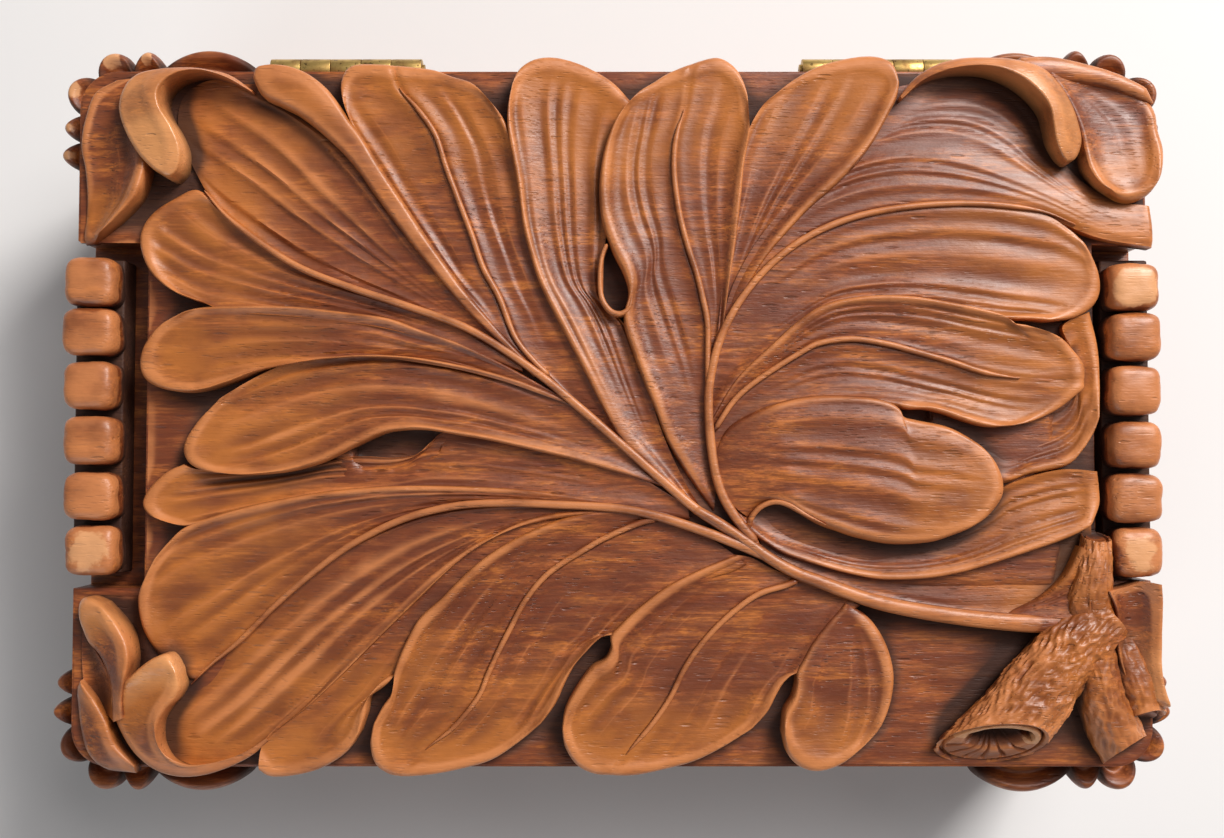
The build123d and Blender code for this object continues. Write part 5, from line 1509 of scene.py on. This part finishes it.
def carve_corner_leaf(mirror_x, mirror_y, seed, worn):
    """A closed section swept round the corner, parted into lobes by cuts that deepen upwards."""
    bm = bmesh.new()
    for mark in ("worn", "bed", "ridge", "hollow"):
        bm.verts.layers.float.new(mark)
    worn_mark, bed_mark, ridge_mark, hollow_mark = bm.verts.layers.float.values()
    along, around = 260, 130
    # Its outer face has most of the points, its back against the walls few
    section_shares = np.interp(np.linspace(0, 1, around + 1), [0, 0.36, 0.78, 1], [0, 0.4, 0.58, 1])
    section = smooth_line(LEAF_SECTION + LEAF_SECTION[:1], section_shares)
    whole = (
        HALF_LENGTH - WALL_RADIUS - LEAF_START_LONG
        + WALL_RADIUS * math.pi / 2
        + HALF_WIDTH - WALL_RADIUS - LEAF_END_SHORT
    )
    made = bmesh.ops.create_grid(bm, x_segments=along - 1, y_segments=around, size=1.0)
    for vert in made["verts"]:
        i = round((vert.co.x + 1) / 2 * (along - 1))
        j = round((vert.co.y + 1) / 2 * around) % around
        out, height = section[j]
        share = i / (along - 1)
        up = height / SECTION_HEIGHT
        # Narrow above the foot, spreading towards the rim
        narrow = 0.14 * (1 - smoothstep(np.array((up - 0.3) / 0.45))) + 0.02 * (1 - up)
        run = whole * (narrow + (1 - 1.75 * narrow) * share)
        part = np.searchsorted(LOBE_PARTS, share, side="right") - 1
        part = min(part, len(LOBE_PARTS) - 2)
        place = (share - LOBE_PARTS[part]) / (LOBE_PARTS[part + 1] - LOBE_PARTS[part])
        round_share = math.sin(math.pi * place)
        free = float(smoothstep(np.array(out / 1.5)))
        tip = float(smoothstep(np.array((up - 0.5) / 0.4)))
        foot = float(smoothstep(np.array((0.25 - up) / 0.25)))
        split = (1 - round_share**0.75) * (0.45 + 2.6 * tip + 1.0 * foot) * free
        middle = math.exp(-(((place - 0.5) / 0.09) ** 2)) * 0.35 * (1 - tip) * free
        wander = 0.25 * math.sin(5.0 * up + 3.0 * part + seed) * free
        out = out - split - middle + wander
        height = height - 1.3 * tip * (1 - round_share**0.5) + 0.25 * tip * math.sin(4.0 * part + seed)
        x, y = round_corner(min(max(run, 0.0), whole), max(out, -0.3))
        vert.co = (mirror_x * x * MM, mirror_y * y * MM, min(max(height, 0.0), LEAF_TOP) * MM)
        # Painted shade in the cuts between the lobes and on the back against the walls, a painted highlight
        # on the round of each lobe
        vert[bed_mark] = min(0.5 * split + 1.4 * middle, 1.0)
        vert[ridge_mark] = max(round_share - 0.75, 0.0) * 2.0 * (tip + 0.4 * foot) * free
        knob = max(round_share - 0.55, 0.0) / 0.45 * max(up - 0.93, 0.0) / 0.06 * free
        vert[worn_mark] = min(0.75 * knob * worn, 0.8) * (part > 0)
        vert[hollow_mark] = min(0.45 * split + 0.6 * (1 - free), 1.0)
    bmesh.ops.remove_doubles(bm, verts=bm.verts, dist=0.001 * MM)
    bmesh.ops.holes_fill(bm, edges=[e for e in bm.edges if e.is_boundary], sides=0)
    return bm


for node, mirror_x, mirror_y, seed, worn in (
    ("back_right_corner_leaf", 1, 1, 0.4, 0.35),
    ("back_left_corner_leaf", -1, 1, 1.7, 1.0),
    ("front_right_corner_leaf", 1, -1, 2.9, 0.1),
    ("front_left_corner_leaf", -1, -1, 4.3, 0.2),
):
    carved = carve_corner_leaf(mirror_x, mirror_y, seed, worn)
    leaf = finish_piece(carved, node + "_carved", "box", walnut, SMOOTHER)
    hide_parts(node)


# Linings and divider: thin planed boards of pale red cedar, pushed in between the walls; one
# more is glued into the lid.


def cedar_group():
    """Red cedar: straight grain, soft dark streaks, dull dry surface."""
    tree = new_group("cedar_wood")
    g = Graph(tree)
    figure = g.noise(g.stretched((14.0, 190.0, 190.0)), 3.0, 0.55, 0.5)
    lines = g.noise(g.stretched((30.0, 1300.0, 1300.0)), 2.0, 0.6)
    base = g.mix(g.ramp(figure, 0.3, 0.7), (0.37, 0.17, 0.085), (0.52, 0.28, 0.15))
    base = g.tint(base, lines, 0.45, 0.75, 0.5, (0.27, 0.11, 0.05))
    worn = g.noise(g.stretched((55.0, 55.0, 55.0)), 4.0, 0.6)
    base = g.tint(base, worn, 0.5, 0.8, 0.35, (0.24, 0.1, 0.05))
    height = g.math("ADD", g.math("MULTIPLY", lines, 0.6), g.math("MULTIPLY", worn, 0.2))
    rough = g.ramp(lines, 0.3, 0.8, 0.55, 0.75)
    g.put_out(Color=base, Roughness=rough, Coat=g.ramp(worn, 0.3, 0.8, 0.0, 0.05), Height=height)
    return tree


cedar = material_from_group("cedar", cedar_group(), 0.12 * MM, 0.5)
for node in (
    "floor_lining", "front_lining", "back_lining", "left_lining", "right_lining", "divider", "lid_lining",
):
    broken_edges(node, "lid" if node == "lid_lining" else "box", cedar, 0.2 * MM)


# Hinges: a pair of small drawn-brass butt hinges let into the back wall and the lid, each
# screwed with brass screws and dulled to brown in patches.


def brass_group():
    """Old brass: dull yellow, brown tarnish in patches, fine rolling lines."""
    tree = new_group("old_brass")
    g = Graph(tree)
    tarnish = g.noise(g.stretched((240.0, 240.0, 240.0)), 5.0, 0.62)
    lines = g.noise(g.stretched((60.0, 3200.0, 3200.0)), 1.0, 0.5)
    spots = g.noise(g.stretched((1400.0, 1400.0, 1400.0)), 2.0, 0.5)
    base = g.mix(g.ramp(tarnish, 0.4, 0.68), (0.62, 0.42, 0.14), (0.23, 0.125, 0.045))
    base = g.tint(base, spots, 0.62, 0.7, 0.7, (0.07, 0.035, 0.018))
    rough = g.math("ADD", g.ramp(tarnish, 0.4, 0.7, 0.3, 0.58), g.ramp(lines, 0.3, 0.7, 0.0, 0.08))
    height = g.math("SUBTRACT", g.math("MULTIPLY", lines, 0.4), g.math("MULTIPLY", spots, 0.3))
    g.put_out(Color=base, Roughness=rough, Coat=g.ramp(tarnish, 0.4, 0.7, 0.0, 0.02), Height=height)
    return tree


brass = material_from_group("brass", brass_group(), 0.06 * MM, 0.4, metallic=1.0)
for leaf, body in (("body_leaf", "box"), ("lid_leaf", "lid")):
    for side in ("left", "right"):
        broken_edges(side + "_hinge_" + leaf, body, brass, 0.12 * MM)
for node in ("left_hinge_pin", "right_hinge_pin", "hinge_screws_body", "hinge_screws_lid"):
    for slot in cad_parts[node].material_slots:
        slot.material = brass


# Wear and shade of the carving: wax and dust darken whatever lies lower than the carving round it, and
# painted shade darkens it further;
# hands have rubbed whatever stands higher, and a painted highlight makes it paler still. Both are marked on
# the finished surfaces.

MAP_STEP = 0.35
MAP_HALF = (93.0, 63.0)
BESIDE_THE_LID = 46.2
IN_THE_NOTCHES = 45.0
NEAR, MIDDLE, FAR = 1.1, 2.4, 6.0
MAP_NOTCH_HALF = 27.6
MAP_NOTCH_LEFT = -74.3
MAP_NOTCH_RIGHT = 76.9
# Dirt and painted shade lie from so far below the surroundings, and are full that much further down
DIRT_AND_SHADE_MIDDLE = (0.15, 1.3)
DIRT_AND_SHADE_FAR = (0.5, 2.6)
# Hands rub, and a highlight is painted on, what stands so far above the near surroundings, fully that much
# further up
RUB_AND_HIGHLIGHT_NEAR = (0.05, 0.5)
RUB_AND_HIGHLIGHT_MIDDLE = 3.0


def soften(field, reach):
    """Blurs a field of heights; reach is in steps."""
    steps = np.arange(-int(3 * reach), int(3 * reach) + 1)
    weights = np.exp(-0.5 * (steps / reach) ** 2)
    weights = weights / weights.sum()
    pad = len(steps) // 2
    for axis in (0, 1):
        width = [(pad, pad) if k == axis else (0, 0) for k in (0, 1)]
        wide = np.pad(field, width, mode="edge")
        count = field.shape[axis]
        total = np.zeros_like(field)
        for weight, start in zip(weights, range(len(steps))):
            total += weight * (wide[start : start + count] if axis == 0 else wide[:, start : start + count])
        field = total
    return field


def read_map(field, x, y):
    """The field's values at these places, read between its steps."""
    fx = np.clip((x + MAP_HALF[0]) / MAP_STEP, 0, field.shape[0] - 1.001)
    fy = np.clip((y + MAP_HALF[1]) / MAP_STEP, 0, field.shape[1] - 1.001)
    i = fx.astype(int)
    j = fy.astype(int)
    a = fx - i
    b = fy - j
    return (
        field[i, j] * (1 - a) * (1 - b)
        + field[i + 1, j] * a * (1 - b)
        + field[i, j + 1] * (1 - a) * b
        + field[i + 1, j + 1] * a * b
    )


carving = [
    o for o in bpy.context.scene.objects
    if o.type == "MESH" and o.data.materials and o.data.materials[0] == walnut
    and not o.name.endswith("corner_leaf_carved") and not o.name.endswith("wall_board")
    and o.name != "bottom_board_board"
]
columns_x = int(2 * MAP_HALF[0] / MAP_STEP) + 1
columns_y = int(2 * MAP_HALF[1] / MAP_STEP) + 1
surface = np.full((columns_x, columns_y), BESIDE_THE_LID)
x_places = (np.arange(columns_x) * MAP_STEP - MAP_HALF[0])[:, None]
y_places = (np.arange(columns_y) * MAP_STEP - MAP_HALF[1])[None, :]
board = (np.abs(x_places) < HALF_LENGTH) & (np.abs(y_places) < HALF_WIDTH)
beyond_board = (x_places < MAP_NOTCH_LEFT) | (x_places > MAP_NOTCH_RIGHT)
notch = (np.abs(y_places) < MAP_NOTCH_HALF) & beyond_board
surface[board & ~notch] = GROUND
surface[board & notch] = IN_THE_NOTCHES
places = {}
for piece in carving:
    mesh = piece.data
    points = np.empty(len(mesh.vertices) * 3)
    mesh.vertices.foreach_get("co", points)
    points = points.reshape(-1, 3) / MM
    places[piece.name] = points
    pairs = np.empty(len(mesh.edges) * 2, dtype=np.int32)
    mesh.edges.foreach_get("vertices", pairs)
    pairs = pairs.reshape(-1, 2)
    between = (points[pairs[:, 0]] + points[pairs[:, 1]]) / 2
    short = np.linalg.norm(points[pairs[:, 0]] - points[pairs[:, 1]], axis=1) < 2.0
    for cloud in (points, between[short]):
        i = np.clip(np.round((cloud[:, 0] + MAP_HALF[0]) / MAP_STEP).astype(int), 0, columns_x - 1)
        j = np.clip(np.round((cloud[:, 1] + MAP_HALF[1]) / MAP_STEP).astype(int), 0, columns_y - 1)
        np.maximum.at(surface, (i, j), cloud[:, 2])
near, middle, far = [soften(surface, reach / MAP_STEP) for reach in (NEAR, MIDDLE, FAR)]
for piece in carving:
    points = places[piece.name]
    x, y, z = points[:, 0], points[:, 1], points[:, 2]
    low_by = np.maximum(
        (read_map(middle, x, y) - z - DIRT_AND_SHADE_MIDDLE[0]) / DIRT_AND_SHADE_MIDDLE[1],
        (read_map(far, x, y) - z - DIRT_AND_SHADE_FAR[0]) / DIRT_AND_SHADE_FAR[1],
    )
    high_by = (z - read_map(near, x, y) - RUB_AND_HIGHLIGHT_NEAR[0]) / RUB_AND_HIGHLIGHT_NEAR[1]
    high_by = high_by + (z - read_map(middle, x, y)) / RUB_AND_HIGHLIGHT_MIDDLE
    for mark, value in (("hollow", low_by), ("crest", high_by)):
        layer = piece.data.attributes.get(mark) or piece.data.attributes.new(mark, "FLOAT", "POINT")
        value = np.clip(value, 0, 1)
        if piece == lid_ground:
            value = np.zeros_like(value)
        layer.data.foreach_set("value", value.astype(np.float32))


# Floor and light: a plain pale floor that runs out into a pale backdrop, a key lamp and a
# smaller window lamp from the back right, and a soft fill from the front left.

FLOOR_COLOUR = (0.82, 0.82, 0.82, 1.0)
BACKDROP = (0.83, 0.83, 0.83, 1.0)
FADE_FROM = 0.22
FADE_TO = 0.75
ROOM_LIGHT = 0.12
MIRRORED_SHARE = 0.35


def seen_only(g):
    """One for rays from the camera and for those mirrored or let through, nought for light."""
    path = g.node("LightPath")
    total = path.outputs["Is Camera Ray"]
    for other in ("Is Glossy Ray", "Is Transmission Ray"):
        total = g.math("MAXIMUM", total, path.outputs[other])
    return total


def mix_shaders(g, share, first, second, output):
    """Mixes two shaders' first outputs into the surface of an output node."""
    mixed = g.node("MixShader")
    g.link(share, mixed.inputs["Fac"])
    g.link(first.outputs[0], mixed.inputs[1])
    g.link(second.outputs[0], mixed.inputs[2])
    g.link(mixed.outputs["Shader"], g.tree.nodes[output].inputs["Surface"])


floor_mesh = bmesh.new()
bmesh.ops.create_grid(floor_mesh, x_segments=1, y_segments=1, size=3.0)
floor_data = bpy.data.meshes.new("floor")
floor_mesh.to_mesh(floor_data)
floor_mesh.free()
floor = bpy.data.objects.new("floor", floor_data)
bpy.context.scene.collection.objects.link(floor)
floor_material = bpy.data.materials.new("floor")
floor_material.use_nodes = True
g = Graph(floor_material.node_tree)
floor_shader = g.tree.nodes["Principled BSDF"]
floor_shader.inputs["Base Color"].default_value = FLOOR_COLOUR
floor_shader.inputs["Roughness"].default_value = 0.9
floor_shader.inputs["Specular IOR Level"].default_value = 0.1
# Far from the box the floor is a plain backdrop, seen but giving no light
from_middle = g.node("VectorMath", operation="LENGTH")
g.link(g.node("TexCoord").outputs["Object"], from_middle.inputs[0])
far_share = g.math("MULTIPLY", g.ramp(from_middle.outputs["Value"], FADE_FROM, FADE_TO), seen_only(g))
far_floor = g.node("Emission")
far_floor.inputs["Color"].default_value = BACKDROP
mix_shaders(g, far_share, floor_shader, far_floor, "Material Output")
floor_data.materials.append(floor_material)

for name, place, target, size, power, colour in (
    ("key_lamp", (0.62, 0.69, 0.8), (0.0, 0.0, 0.04), 0.36, 14.6, (1.0, 0.96, 0.92)),
    ("window_lamp", (0.3, 0.3, 0.62), (0.05, 0.03, 0.04), 0.34, 2.0, (1.0, 0.94, 0.93)),
    ("fill_lamp", (-0.55, -1.0, 0.65), (0.0, 0.0, 0.03), 0.8, 3.6, (0.97, 0.98, 1.0)),
):
    lamp_data = bpy.data.lights.new(name, "AREA")
    lamp_data.shape = "SQUARE"
    lamp_data.size = size
    lamp_data.energy = power
    lamp_data.color = colour
    lamp = bpy.data.objects.new(name, lamp_data)
    lamp.location = place
    lamp.rotation_euler = (Vector(target) - Vector(place)).to_track_quat("-Z", "Y").to_euler()
    bpy.context.scene.collection.objects.link(lamp)

# The room lights the box softly; the camera sees it as the backdrop, mirrored rays partly so
world = bpy.data.worlds.new("room")
world.use_nodes = True
g = Graph(world.node_tree)
room_light = g.tree.nodes["Background"]
room_light.inputs["Color"].default_value = (1.0, 1.0, 1.0, 1.0)
room_light.inputs["Strength"].default_value = ROOM_LIGHT
backdrop = g.node("Background")
backdrop.inputs["Color"].default_value = BACKDROP
mirrored = g.math("MULTIPLY", seen_only(g), MIRRORED_SHARE)
seen_share = g.math("MAXIMUM", g.node("LightPath").outputs["Is Camera Ray"], mirrored)
mix_shaders(g, seen_share, room_light, backdrop, "World Output")
bpy.context.scene.world = world
bpy.context.scene.view_settings.view_transform = "Standard"


# Camera: almost straight above the lid, leaning a little to the front.

CAMERA_DISTANCE = 0.2
CAMERA_TILT = math.radians(2.0)
AIM = Vector((0.0, -0.63 * MM, 0.05))
SENSOR_WIDTH = 36.0
FOCAL_IN_WIDTHS = 1274.0 / 1224.0
camera_data = bpy.data.cameras.new("camera")
camera_data.sensor_width = SENSOR_WIDTH
camera_data.lens = SENSOR_WIDTH * FOCAL_IN_WIDTHS
camera_data.clip_start = 0.01
camera = bpy.data.objects.new("camera", camera_data)
camera.location = AIM + CAMERA_DISTANCE * Vector((0.0, -math.sin(CAMERA_TILT), math.cos(CAMERA_TILT)))
camera.rotation_euler = (CAMERA_TILT, 0.0, 0.0)
bpy.context.scene.collection.objects.link(camera)
bpy.context.scene.camera = camera
